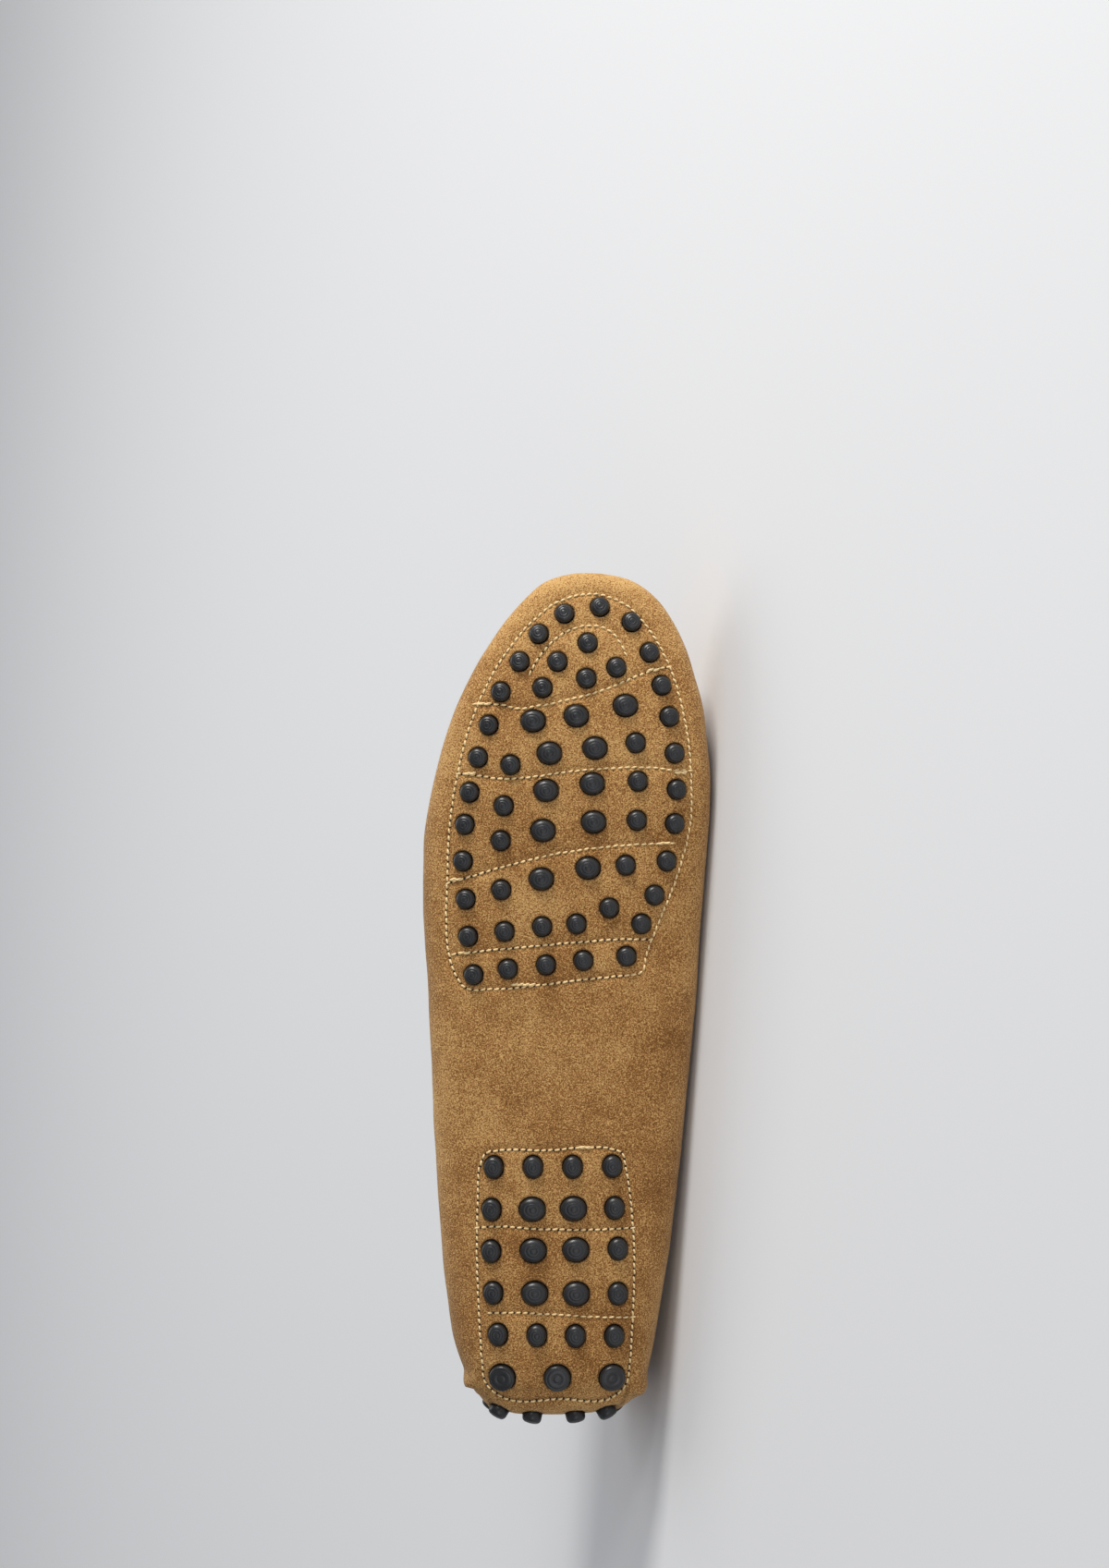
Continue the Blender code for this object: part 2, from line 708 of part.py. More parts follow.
def resting_pose(parts):
    """Rotation that lays the shoe on its medial side, on the hull facet under its middle."""
    bm = bmesh.new()
    for part in parts:
        for vertex in part.data.vertices:
            bm.verts.new(vertex.co)
    bmesh.ops.remove_doubles(bm, verts=bm.verts, dist=0.0002)
    hull = bmesh.ops.convex_hull(bm, input=bm.verts)
    middle = middle_of(parts)
    best, found = None, None
    for face in [g for g in hull["geom"] if isinstance(g, bmesh.types.BMFace)]:
        corners = [v.co for v in face.verts]
        normal = (corners[1] - corners[0]).cross(corners[2] - corners[0])
        if normal.length < 1e-10:
            continue
        normal.normalize()
        if (corners[0] - middle).dot(normal) < 0.0:
            normal.negate()
            corners.reverse()
        if normal.y < 0.5:
            continue
        foot = middle + normal * (corners[0] - middle).dot(normal)
        inside = min(
            (b - a).normalized().cross(foot - a).dot(normal)
            for a, b in zip(corners, corners[1:] + corners[:1])
        )
        if best is None or inside > found:
            best, found = normal, inside
    bm.free()
    turn = best.rotation_difference(Vector((0.0, 0.0, -1.0))).to_matrix()
    toe = turn @ Vector((1.0, 0.0, 0.0))
    square = Matrix.Rotation(-math.atan2(toe.y, toe.x), 3, "Z")
    return (square @ turn).to_4x4()


def main():
    for item in list(bpy.data.objects):
        bpy.data.objects.remove(item, do_unlink=True)
    seats = stud_seats()
    depth = -WALL - GAP
    upper = make_upper()
    parts = [
        upper,
        make_apron(),
        make_binding(),
        make_forefoot_sole(seats, depth),
        make_heel_sole(seats, depth),
        make_insole(depth - PAD - GAP),
    ]
    boolean(upper, pegs_object("stud_holes", seats, GAP, ((-2.0 * WALL, 0.0), (WALL, 0.0))), "DIFFERENCE")
    pose = resting_pose(parts)
    turned = [pose @ v.co for part in parts for v in part.data.vertices]
    lows = [min(p[k] for p in turned) for k in range(3)]
    highs = [max(p[k] for p in turned) for k in range(3)]
    move = Vector((-(lows[0] + highs[0]) / 2, -(lows[1] + highs[1]) / 2, -lows[2]))
    shoe = bpy.data.objects.new("shoe", None)
    bpy.context.collection.objects.link(shoe)
    shoe.matrix_world = Matrix.Translation(move) @ pose
    for item in list(bpy.data.objects):
        if item.type == "MESH":
            item.parent = shoe
    for part in parts:
        colour, roughness = COLOURS[part.name]
        material = bpy.data.materials.new(part.name)
        material.use_nodes = True
        shader = material.node_tree.nodes["Principled BSDF"]
        shader.inputs["Base Color"].default_value = (*colour, 1.0)
        shader.inputs["Roughness"].default_value = roughness
        shader.inputs["Metallic"].default_value = 0.0
        part.data.materials.append(material)
    bpy.context.view_layer.update()


main()
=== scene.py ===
"""Looks of the driving moccasin: suede, quilted stud panels, rubber studs, thread, lining and studio.

The shoe's shape is worked out as in the part: x from heel to toe, y to the medial side and
z up from the sole, then laid on its side by SHOE_POSE.
"""
import math
import random

import bmesh
import bpy
import numpy as np
from mathutils import Matrix, Vector, noise


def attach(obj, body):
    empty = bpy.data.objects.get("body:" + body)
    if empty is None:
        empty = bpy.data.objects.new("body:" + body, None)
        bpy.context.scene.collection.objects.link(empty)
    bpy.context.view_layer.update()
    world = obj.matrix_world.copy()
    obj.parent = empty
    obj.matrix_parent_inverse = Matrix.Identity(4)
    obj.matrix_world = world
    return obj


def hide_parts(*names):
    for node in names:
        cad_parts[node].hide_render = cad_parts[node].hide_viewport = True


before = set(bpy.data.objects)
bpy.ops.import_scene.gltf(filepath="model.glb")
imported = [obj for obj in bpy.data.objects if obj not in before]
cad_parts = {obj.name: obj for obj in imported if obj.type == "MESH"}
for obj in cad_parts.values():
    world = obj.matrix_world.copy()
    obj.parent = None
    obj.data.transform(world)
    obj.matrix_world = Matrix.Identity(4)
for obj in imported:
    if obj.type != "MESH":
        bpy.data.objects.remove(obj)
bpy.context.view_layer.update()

SEED = 11

# The part's sizes, metres
LENGTH = 0.285
BALL_WIDTH = 0.0964
HEEL_HEIGHT = 0.060
INSTEP_HEIGHT = 0.064
TOE_SPRING = 0.007
WALL = 0.0019
GAP = 0.0003
PAD = 0.0016
INSOLE = 0.0015
SEAM_RISE = 0.0011
SEAM_WIDTH = 0.0030
BINDING_LIP = 0.0050
BINDING_SKIN = 0.0011

# Stations as shares of the length, and the powers of its sections
HEEL_CENTRE = 0.115
TOE_CENTRE = 0.800
THROAT = 0.530
APRON_TIP = 0.925
SOLE_SQUARENESS = 3.3
END_FULLNESS = 2.3

# How the part lies: roll about its length, pitch of the toe, and its place
ROLL = math.radians(-107.4904)
PITCH = math.radians(-3.8878)
PLACE = Vector((-0.142456, -0.028381, 0.037101))
SHOE_POSE = Matrix.Translation(PLACE) @ Matrix.Rotation(PITCH, 4, "Y") @ Matrix.Rotation(ROLL, 4, "X")

OUTLINE = (
    # station, lateral, medial: shares of the length and the ball width
    (0.012, 0.262, 0.190),
    (0.033, 0.315, 0.266),
    (0.054, 0.347, 0.283),
    (0.098, 0.395, 0.315),
    (0.141, 0.415, 0.337),
    (0.228, 0.440, 0.376),
    (0.315, 0.456, 0.405),
    (0.402, 0.469, 0.430),
    (0.489, 0.479, 0.456),
    (0.576, 0.495, 0.472),
    (0.641, 0.499, 0.487),
    (0.707, 0.489, 0.504),
    (0.750, 0.463, 0.507),
    (0.793, 0.430, 0.498),
    (0.837, 0.386, 0.482),
    (0.880, 0.328, 0.450),
    (0.924, 0.251, 0.405),
    (0.967, 0.148, 0.325),
    (0.989, 0.074, 0.241),
)
HEEL_POINT = -0.030
TOE_POINT = 0.090

HEIGHTS = (
    # station, widest, crown, fullness: heights as shares of the instep
    (0.000, 0.27, 1.34, 1.60),
    (0.120, 0.26, 1.34, 1.55),
    (0.330, 0.24, 1.30, 1.40),
    (0.530, 0.23, 1.02, 1.40),
    (0.660, 0.22, 0.80, 1.60),
    (0.800, 0.20, 0.60, 2.10),
    (0.930, 0.21, 0.49, 2.10),
    (1.000, 0.23, 0.45, 2.10),
)

TOPLINE = (
    # station, height as a share of the heel height
    (0.000, 1.02),
    (0.115, 0.98),
    (0.250, 0.86),
    (0.400, 0.84),
    (0.530, 0.93),
)

# Studs, as in the part
RING = (
    # station and place across of each stud, from the lateral end of the ring round the toe
    (0.525, -0.321), (0.570, -0.340), (0.614, -0.348), (0.659, -0.358), (0.702, -0.351), (0.740, -0.335),
    (0.781, -0.305), (0.819, -0.269), (0.858, -0.226), (0.894, -0.161), (0.927, -0.095), (0.951, -0.005),
    (0.959, 0.119), (0.941, 0.230), (0.905, 0.293), (0.866, 0.334), (0.829, 0.361), (0.786, 0.379),
    (0.743, 0.387), (0.703, 0.380), (0.659, 0.351), (0.619, 0.308), (0.585, 0.263), (0.547, 0.211),
)
FORE_STUDS = (
    # station, place across, kind
    (0.532, -0.201, "small"), (0.537, -0.069, "small"), (0.542, 0.061, "small"),
    (0.576, -0.213, "small"), (0.582, -0.082, "small"), (0.585, 0.037, "small"), (0.604, 0.151, "small"),
    (0.625, -0.224, "small"), (0.638, -0.085, "large"), (0.651, 0.077, "large"), (0.654, 0.208, "small"),
    (0.683, -0.226, "small"), (0.695, -0.079, "large"), (0.705, 0.097, "large"), (0.707, 0.247, "small"),
    (0.724, -0.216, "small"), (0.742, -0.068, "large"), (0.750, 0.093, "large"), (0.753, 0.251, "small"),
    (0.772, -0.192, "small"), (0.786, -0.056, "large"), (0.792, 0.101, "large"), (0.798, 0.243, "small"),
    (0.824, -0.114, "large"), (0.830, 0.037, "large"), (0.842, 0.208, "large"),
    (0.863, -0.081, "small"), (0.874, 0.072, "small"), (0.887, 0.177, "small"),
    (0.894, -0.029, "small"), (0.916, 0.077, "small"),
)
HEEL_ROWS = (
    # station, first, last, climb, count, ends, middle
    (0.299, -0.251, 0.162, 0.001, 4, "small", "small"),
    (0.249, -0.259, 0.170, 0.002, 4, "small", "large"),
    (0.200, -0.260, 0.182, 0.003, 4, "small", "large"),
    (0.151, -0.253, 0.181, -0.001, 4, "small", "large"),
    (0.102, -0.236, 0.169, -0.002, 4, "small", "small"),
    (0.051, -0.221, 0.162, 0.000, 3, "heel", "heel"),
)
BACK_STUDS = (
    # height, place across
    (0.18, -0.218), (0.17, -0.116), (0.17, 0.034), (0.18, 0.130),
    (0.37, -0.238), (0.38, -0.116), (0.38, 0.034), (0.37, 0.150),
    (0.56, -0.092), (0.56, 0.010),
)

# Half-sizes of the studs, along the shoe and across it, millimetres
STUD_SIZES = {
    # pad and kind: along, across
    ("fore", "small"): (3.20, 3.15),
    ("fore", "large"): (3.60, 4.05),
    ("heel", "small"): (3.70, 3.25),
    ("heel", "large"): (3.95, 4.35),
    ("heel", "heel"): (4.45, 4.40),
    ("back", "small"): (3.30, 3.25),
}

# Quilted panels: outlines of thread and the lines across them
FORE_PANEL = (
    # station, lateral, medial
    (0.528, 0.387, 0.262),
    (0.553, 0.409, 0.284),
    (0.585, 0.416, 0.322),
    (0.643, 0.412, 0.390),
    (0.702, 0.404, 0.435),
    (0.763, 0.376, 0.438),
    (0.832, 0.320, 0.413),
    (0.893, 0.232, 0.358),
    (0.939, 0.126, 0.277),
    (0.963, 0.039, 0.205),
)
FORE_PANEL_TIP = ((0.975, 0.090),)
FORE_PANEL_BACK = ((0.525, 0.213), (0.521, 0.100), (0.513, -0.100), (0.5085, -0.250), (0.5114, -0.355))
HEEL_PANEL = (
    # station, lateral, medial
    (0.041, 0.276, 0.210),
    (0.070, 0.292, 0.225),
    (0.107, 0.299, 0.232),
    (0.150, 0.305, 0.238),
    (0.230, 0.309, 0.235),
    (0.266, 0.305, 0.225),
    (0.299, 0.299, 0.210),
    (0.3155, 0.275, 0.196),
)
HEEL_PANEL_TIP = ((0.3188, -0.225), (0.3188, -0.060), (0.3220, 0.060), (0.3210, 0.155))
HEEL_PANEL_BACK = ((0.0275, 0.170), (0.0250, -0.020), (0.0265, -0.220))
PANEL_LINES = (
    # station and place across, from the lateral side
    ((0.881, -0.125), (0.894, -0.103), (0.917, -0.049), (0.932, 0.015), (0.937, 0.080), (0.934, 0.139),
     (0.919, 0.187), (0.903, 0.211)),
    ((0.844, -0.318), (0.843, -0.222), (0.839, -0.178), (0.842, -0.092), (0.848, -0.006), (0.861, 0.133),
     (0.879, 0.262), (0.886, 0.320), (0.888, 0.362)),
    ((0.762, -0.375), (0.760, -0.307), (0.756, -0.232), (0.757, -0.146), (0.764, 0.004), (0.768, 0.140),
     (0.769, 0.305), (0.766, 0.380), (0.766, 0.436)),
    ((0.633, -0.412), (0.640, -0.339), (0.654, -0.200), (0.665, -0.071), (0.674, 0.090), (0.679, 0.262),
     (0.680, 0.372)),
    ((0.549, -0.390), (0.552, -0.318), (0.558, -0.146), (0.563, 0.026), (0.567, 0.198), (0.567, 0.296)),
    ((0.2275, -0.309), (0.2290, -0.260), (0.2265, -0.100), (0.2255, 0.080), (0.2275, 0.235)),
    ((0.1276, -0.265), (0.1276, -0.160), (0.1250, 0.000), (0.1225, 0.120), (0.1222, 0.236)),
)
BAR_TACKS = (
    # station, place across, length in stitches, slant
    (0.5135, -0.150, 4, 0.08),
    (0.3222, 0.065, 2, -0.25),
    (0.884, 0.305, 2, 0.35),
    (0.763, 0.400, 2, -0.20),
    (0.680, 0.340, 2, 0.05),
    (0.637, -0.385, 2, 0.10),
    (0.551, -0.355, 2, 0.10),
    (0.762, -0.335, 2, 0.05),
    (0.844, -0.285, 2, -0.05),
)

# Thread and quilting, metres; the slant in radians
STITCH_PITCH = 0.00232
STITCH_LENGTH = 0.00182
STITCH_RADIUS = 0.00036
STITCH_SLANT = 0.16
QUILT_TROUGH = 0.00055
QUILT_WIDTH = 0.0011
QUILT_PUFF = 0.00035
NEEDLE_RADIUS = 0.00042

# Other rows of stitches: pitch and length, and their radius
BINDING_STITCH = (0.0026, 0.0018)
SEAM_STITCH = (0.0034, 0.0026)
HEEL_STITCH = (0.0024, 0.0016)
ROW_RADIUS = 0.0003

# Punched holes: gap round a stud, and the edge's section as distance out of the hole and rise, metres
HOLE_GAP = 0.00028
HOLE_EDGE = (
    (0.0018, -0.00010),
    (0.0013, 0.00005),
    (0.0008, 0.00010),
    (0.0004, 0.00008),
    (0.00012, -0.00004),
    (0.0, -0.00030),
    (-0.00003, -0.0018),
)
WELL_REACH = 0.0095
WELL_DEPTH = 0.0019
DIMPLE_DEPTH = 0.00028
DIMPLE_WIDTH = 0.0011

# Mesh steps, metres
CELL = 0.00085
WALL_CELL = 0.0015

# Height up to which the thread and the panels of the sole reach
UNDERSIDE = 0.020

# Turned-up heel piece: height, half-widths at its foot and top, middle, step at its edge,
# and the height up to which it ends at a place along the shoe
TAB_TOP = 0.040
TAB_FOOT = 0.0254
TAB_HEAD = 0.0125
TAB_CENTRE = -0.0030
TAB_STEP = 0.0012
TAB_CORNER = 0.012
TAB_BACK = 0.0105

# Back corners of the side panels: side, where each ends, how far it stands proud
HEEL_CORNERS = (
    (-1.0, 0.0106, 0.0024),
    (1.0, 0.0080, 0.0013),
)

# Lengths round the toe and the heel that set how many ribs turn there, and the step for a rib's slope
TOE_ROUND = 0.050
HEEL_ROUND = 0.036
RIB_STEP = 0.004

# Gathers along the U seam, metres from one to the next
GATHER_PITCH = 0.0042

# A bar tack's direction, and where its second stitch lies from its first
ACROSS = np.array((0.0, 1.0, 0.0))
TACK_SHIFT = np.array((0.0002, 0.0005, 0.0))

# Patches in the nap under the waist: amount, station, place across, half-widths along and across
NAP_PATCHES = (
    (-0.25, 0.53, 0.36, 0.05, 0.07),
    (0.30, 0.47, 0.44, 0.04, 0.05),
)

# A stud's section: share of its radius, and height above the suede in millimetres
STUD_SECTION = (
    (1.00, -2.6), (1.00, 0.45), (0.985, 0.85), (0.95, 1.24), (0.88, 1.62), (0.78, 1.93),
    (0.68, 2.11), (0.60, 2.18), (0.57, 2.06), (0.53, 2.20), (0.42, 2.31), (0.30, 2.36),
    (0.27, 2.25), (0.23, 2.37), (0.10, 2.39),
)
HEEL_STUD_SECTION = (
    (1.00, -2.6), (1.00, 0.75), (0.985, 1.25), (0.94, 1.68), (0.88, 1.88), (0.82, 1.94),
    (0.79, 1.84), (0.75, 1.95), (0.60, 2.02), (0.36, 2.06), (0.33, 1.96), (0.29, 2.07), (0.12, 2.08),
)

# Colours
# Suede from dark to light; the painted light and shade in the tone attribute also move along it
SUEDE_DARK = (0.165, 0.067, 0.0150)
SUEDE_MID = (0.352, 0.157, 0.044)
SUEDE_LIGHT = (0.600, 0.370, 0.140)
# Painted shade in the gaps round the studs, also used for the darker raw edges
HOLE_SHADE_AND_RAW_EDGE_COLOUR = (0.030, 0.014, 0.006)
FLOOR_COLOUR = (0.76, 0.765, 0.775)

# Camera: square on to the sole, toe up in the frame
FRAME_WIDTH, FRAME_HEIGHT = 1200, 1697
PIXELS_PER_METRE = 3221.0
SHOE_BOTTOM_ROW = 1536.9
CENTRE_COLUMN = 612
DISTANCE = 1.50

# Middle of the shoe as it lies, which the lights face
LIGHT_TARGET = Vector((0.0, 0.0, 0.045))


def hermite(table, station, column):
    """A table's column at stations, by a smooth curve through its rows."""
    rows = np.array(table)
    s, v = rows[:, 0], rows[:, column]
    x = np.clip(np.asarray(station, dtype=float), s[0], s[-1])
    i = np.clip(np.searchsorted(s, x, side="left") - 1, 0, len(s) - 2)
    before, after = np.maximum(i - 1, 0), np.minimum(i + 2, len(s) - 1)
    span = s[i + 1] - s[i]
    slope_a = (v[i + 1] - v[before]) / (s[i + 1] - s[before])
    slope_b = (v[after] - v[i]) / (s[after] - s[i])
    t = (x - s[i]) / span
    t2, t3 = t * t, t * t * t
    return ((2 * t3 - 3 * t2 + 1) * v[i] + (t3 - 2 * t2 + t) * span * slope_a
            + (3 * t2 - 2 * t3) * v[i + 1] + (t3 - t2) * span * slope_b)


def smoothstep(low, high, x):
    t = np.clip((np.asarray(x, dtype=float) - low) / (high - low), 0.0, 1.0)
    return t * t * (3.0 - 2.0 * t)


def plan(pairs):
    """Plan points in metres from pairs of station and place across."""
    return [np.array((s * LENGTH, a * BALL_WIDTH)) for s, a in pairs]


def spline(points, steps, closed):
    """A smooth curve through plan points, by chord lengths."""
    count = len(points)
    last = count if closed else count - 1
    curve = []
    for i in range(last):
        if closed:
            p = [points[(i + k) % count] for k in (-1, 0, 1, 2)]
        else:
            p = [points[min(count - 1, max(0, i + k))] for k in (-1, 0, 1, 2)]
        d = [max(float(np.linalg.norm(p[k + 1] - p[k])), 1e-6) for k in range(3)]
        a = ((p[1] - p[0]) * (d[1] / d[0]) + (p[2] - p[1]) * (d[0] / d[1])) / (d[0] + d[1])
        b = ((p[2] - p[1]) * (d[2] / d[1]) + (p[3] - p[2]) * (d[1] / d[2])) / (d[1] + d[2])
        if not closed and i == 0:
            a = (p[2] - p[1]) / d[1]
        if not closed and i == last - 1:
            b = (p[2] - p[1]) / d[1]
        for k in range(steps):
            t = k / steps
            t2, t3 = t * t, t * t * t
            curve.append(p[1] * (2 * t3 - 3 * t2 + 1) + a * d[1] * (t3 - 2 * t2 + t)
                         + p[2] * (3 * t2 - 2 * t3) + b * d[1] * (t3 - t2))
    if not closed:
        curve.append(points[-1])
    return curve


def outline_curve(rows, back, front, steps):
    lateral = plan([(s, -a) for s, a, _ in rows])
    medial = plan([(s, b) for s, _, b in reversed(rows)])
    return spline(plan(back) + lateral + plan(front) + medial, steps, True)


SHOE_CURVE = np.array(outline_curve(OUTLINE, [(0.0, HEEL_POINT)], [(1.0, TOE_POINT)], 24))


def reach(starts, directions):
    """Distance from start points along directions to the shoe's outline."""
    side = np.stack((-directions[:, 1], directions[:, 0]), axis=1)
    a = SHOE_CURVE[None] - starts[:, None]
    b = np.roll(a, -1, axis=1)
    sa = np.einsum("ijk,ik->ij", a, side)
    sb = np.einsum("ijk,ik->ij", b, side)
    crosses = (sa <= 0.0) != (sb <= 0.0)
    t = np.where(crosses, sa / np.where(crosses, sa - sb, 1.0), 0.0)
    hit = a + (b - a) * t[..., None]
    return np.where(crosses, np.einsum("ijk,ik->ij", hit, directions), 0.0).max(axis=1)


def centre_line(station):
    heel = (hermite(OUTLINE, HEEL_CENTRE, 2) - hermite(OUTLINE, HEEL_CENTRE, 1)) / 2
    toe = (hermite(OUTLINE, TOE_CENTRE, 2) - hermite(OUTLINE, TOE_CENTRE, 1)) / 2
    return (heel + (toe - heel) * smoothstep(HEEL_CENTRE, TOE_CENTRE, station)) * BALL_WIDTH


def spring(x):
    return TOE_SPRING * np.maximum(0.0, (x / LENGTH - 0.70) / 0.30) ** 2


class Ribs:
    """Ribs of the last, each from the sole's centre line out to the widest point and up to the crown."""

    def __init__(self, station, direction):
        self.station = np.asarray(station, dtype=float)
        self.direction = np.asarray(direction, dtype=float)
        self.turn = np.abs(self.direction[:, 0])
        self.start = np.stack((self.station * LENGTH, centre_line(self.station)), axis=1)
        self.radius = reach(self.start, self.direction)
        self.end = (self.start[:, 0] + self.direction[:, 0] * self.radius) / LENGTH
        self.widest = hermite(HEIGHTS, self.end, 1) * INSTEP_HEIGHT
        self.crown = hermite(HEIGHTS, self.station, 2) * INSTEP_HEIGHT
        side = hermite(HEIGHTS, self.station, 3)
        self.fullness = side + (END_FULLNESS - side) * self.turn ** 2

    def plan_points(self, share):
        """Plan coordinates at shares of the ribs' reach."""
        r = self.radius[:, None] * share
        return [self.start[:, k:k + 1] + self.direction[:, k:k + 1] * r for k in (0, 1)]

    def sole(self, share):
        share = np.atleast_2d(share)
        x, y = self.plan_points(share)
        drop = np.maximum(0.0, 1.0 - np.abs(share) ** SOLE_SQUARENESS) ** (1.0 / SOLE_SQUARENESS)
        z = self.widest[:, None] - (self.widest[:, None] - spring(x)) * drop
        return np.stack((x, y, z), axis=2)

    def wall(self, turn):
        power = 2.0 / self.fullness[:, None]
        x, y = self.plan_points(np.maximum(0.0, np.cos(turn)) ** power)
        z = self.widest[:, None] + (self.crown - self.widest)[:, None] * np.sin(turn) ** power
        return np.stack((x, y, z), axis=2)

    def turn_at_height(self, z):
        share = np.clip((z - self.widest) / (self.crown - self.widest), 0.0, 1.0)
        return np.arcsin(share ** (self.fullness / 2.0))

    def seam_turn(self):
        side = 0.50 + 0.16 * smoothstep(THROAT, TOE_CENTRE, self.station)
        tip = (APRON_TIP - TOE_CENTRE) / (1.0 - TOE_CENTRE)
        share = side + (tip - side) * np.where(self.station >= TOE_CENTRE - 1e-6, self.turn ** 2, 0.0)
        return np.arccos(share ** (self.fullness / 2.0))

    def rim_turn(self):
        top = self.turn_at_height(hermite(TOPLINE, self.end, 1) * HEEL_HEIGHT)
        blend = smoothstep(THROAT - 0.045, THROAT, self.station)
        return top + (self.seam_turn() - top) * blend


def ribs_at(points):
    """The ribs that pass over plan points, and how far out each point lies on its rib."""
    points = np.asarray(points, dtype=float)
    station = np.clip(points[:, 0] / LENGTH, HEEL_CENTRE, TOE_CENTRE)
    start = np.stack((station * LENGTH, centre_line(station)), axis=1)
    offset = points - start
    far = np.linalg.norm(offset, axis=1)
    fan = np.abs(offset[:, 0]) > 1e-6
    straight = np.stack((np.zeros(len(points)), np.where(offset[:, 1] >= 0.0, 1.0, -1.0)), axis=1)
    direction = np.where(fan[:, None], offset / np.maximum(far, 1e-9)[:, None], straight)
    ribs = Ribs(station, direction)
    return ribs, far / ribs.radius


def on_sole(points):
    """Points and outward normals of the suede at plan points under the shoe."""
    ribs, share = ribs_at(points)
    here = ribs.sole(share[:, None])[:, 0]
    ahead = ribs.sole(np.minimum(1.0, share + RIB_STEP)[:, None])[:, 0]
    along = ahead - ribs.sole((share - RIB_STEP)[:, None])[:, 0]
    return here, rib_normal(ribs, along)


def rib_normal(ribs, along):
    out = along[:, 0] * ribs.direction[:, 0] + along[:, 1] * ribs.direction[:, 1]
    normal = np.stack((ribs.direction[:, 0] * along[:, 2], ribs.direction[:, 1] * along[:, 2], -out), axis=1)
    return normal / np.linalg.norm(normal, axis=1)[:, None]


def lengths_along(path):
    """Distance from a polyline's first point to each of its points."""
    return np.concatenate(([0.0], np.cumsum(np.linalg.norm(np.diff(path, axis=0), axis=1))))


def even(points, pitch, closed=False):
    """Places at equal steps along a polyline, with the direction there."""
    path = np.array([*points, points[0]] if closed else points, dtype=float)
    total = lengths_along(path)

    def places(at):
        return np.stack([np.interp(at, total, column) for column in path.T], axis=1)

    count = max(2, int(round(total[-1] / pitch)))
    at = np.linspace(0.0, total[-1], count, endpoint=not closed)
    return places(at), places(at + pitch * 0.4) - places(at - pitch * 0.4)


def on_wall(ribs, turn):
    """Points and outward normals of the upper's wall at turns of its ribs."""
    along = ribs.wall(turn + RIB_STEP)[:, 0] - ribs.wall(np.maximum(turn - RIB_STEP, 0.0))[:, 0]
    return ribs.wall(turn)[:, 0], rib_normal(ribs, along)


def heel_start(across):
    """The heel's centre in plan, and how far back and across from there a place across lies."""
    centre = np.array((HEEL_CENTRE * LENGTH, float(centre_line(HEEL_CENTRE))))
    y = across - centre[1]
    return centre, math.sqrt(max(0.0, centre[0] ** 2 - y * y)), y


def stud_seats():
    """Every stud: pad, kind, seat on the suede and outward normal."""
    seats = [("fore", "small", p) for p in plan(RING)]
    seats += [("fore", kind, plan([(station, across)])[0]) for station, across, kind in FORE_STUDS]
    for station, first, last, climb, count, ends, middle in HEEL_ROWS:
        for i in range(count):
            t = i / (count - 1)
            kind = ends if i in (0, count - 1) else middle
            seats.append(("heel", kind, plan([(station + climb * t, first + (last - first) * t)])[0]))
    centres, normals = on_sole([s[2] for s in seats])
    made = [(pad, kind, c, n) for (pad, kind, _), c, n in zip(seats, centres, normals)]
    for height, place in BACK_STUDS:
        centre, back, y = heel_start(place * BALL_WIDTH)
        ribs, _ = ribs_at([centre + np.array((-back, y))])
        z = height * HEEL_HEIGHT
        if z < ribs.widest[0]:
            drop = (ribs.widest[0] - z) / ribs.widest[0]
            share = (1.0 - drop ** SOLE_SQUARENESS) ** (1.0 / SOLE_SQUARENESS)
            centres, normals = on_sole([ribs.start[0] + ribs.direction[0] * ribs.radius[0] * share])
        else:
            centres, normals = on_wall(ribs, ribs.turn_at_height(z)[:, None])
        made.append(("back", "small", centres[0], normals[0]))
    return made


def stud_axes(normal):
    side = np.array((1.0, 0.0, 0.0)) - normal * normal[0]
    if np.linalg.norm(side) < 0.2:
        side = np.array((0.0, 1.0, 0.0)) - normal * normal[1]
    side = side / np.linalg.norm(side)
    return side, np.cross(normal, side)


def lined_ribs(*runs):
    """Ribs along the sides, at stations, and round the ends, by count, in the order given."""
    stations, directions = [], []
    for name, value in runs:
        if name in ("lateral", "medial"):
            stations.append(value)
            directions.append(np.tile((0.0, 1.0 if name == "medial" else -1.0), (len(value), 1)))
        else:
            centre, sign = (TOE_CENTRE, 1.0) if name == "toe" else (HEEL_CENTRE, -1.0)
            angle = np.linspace(0.0, math.pi, value)[1:-1]
            stations.append(np.full(len(angle), centre))
            directions.append(sign * np.stack((np.sin(angle), -np.cos(angle)), axis=1))
    return Ribs(np.concatenate(stations), np.concatenate(directions))


def round_ribs(side_count, toe_count, heel_count):
    """Ribs round the whole shoe."""
    sides = np.linspace(HEEL_CENTRE, TOE_CENTRE, side_count)
    return lined_ribs(("lateral", sides), ("toe", toe_count), ("medial", sides[::-1]), ("heel", heel_count))


def dense_ribs():
    """Ribs round the whole shoe, a mesh step apart."""
    side_count = int((TOE_CENTRE - HEEL_CENTRE) * LENGTH / CELL) + 1
    return round_ribs(side_count, int(math.pi * TOE_ROUND / CELL), int(math.pi * HEEL_ROUND / CELL))


def front_ribs(side_count, toe_count):
    """Ribs from the throat round the toe and back."""
    sides = np.linspace(THROAT, TOE_CENTRE, side_count)
    return lined_ribs(("lateral", sides), ("toe", toe_count), ("medial", sides[::-1]))


def collar_ribs(side_count, heel_count):
    """Ribs from the throat round the heel and back."""
    sides = np.linspace(HEEL_CENTRE, THROAT - 0.008, side_count)
    return lined_ribs(("medial", sides[::-1]), ("heel", heel_count), ("lateral", sides))


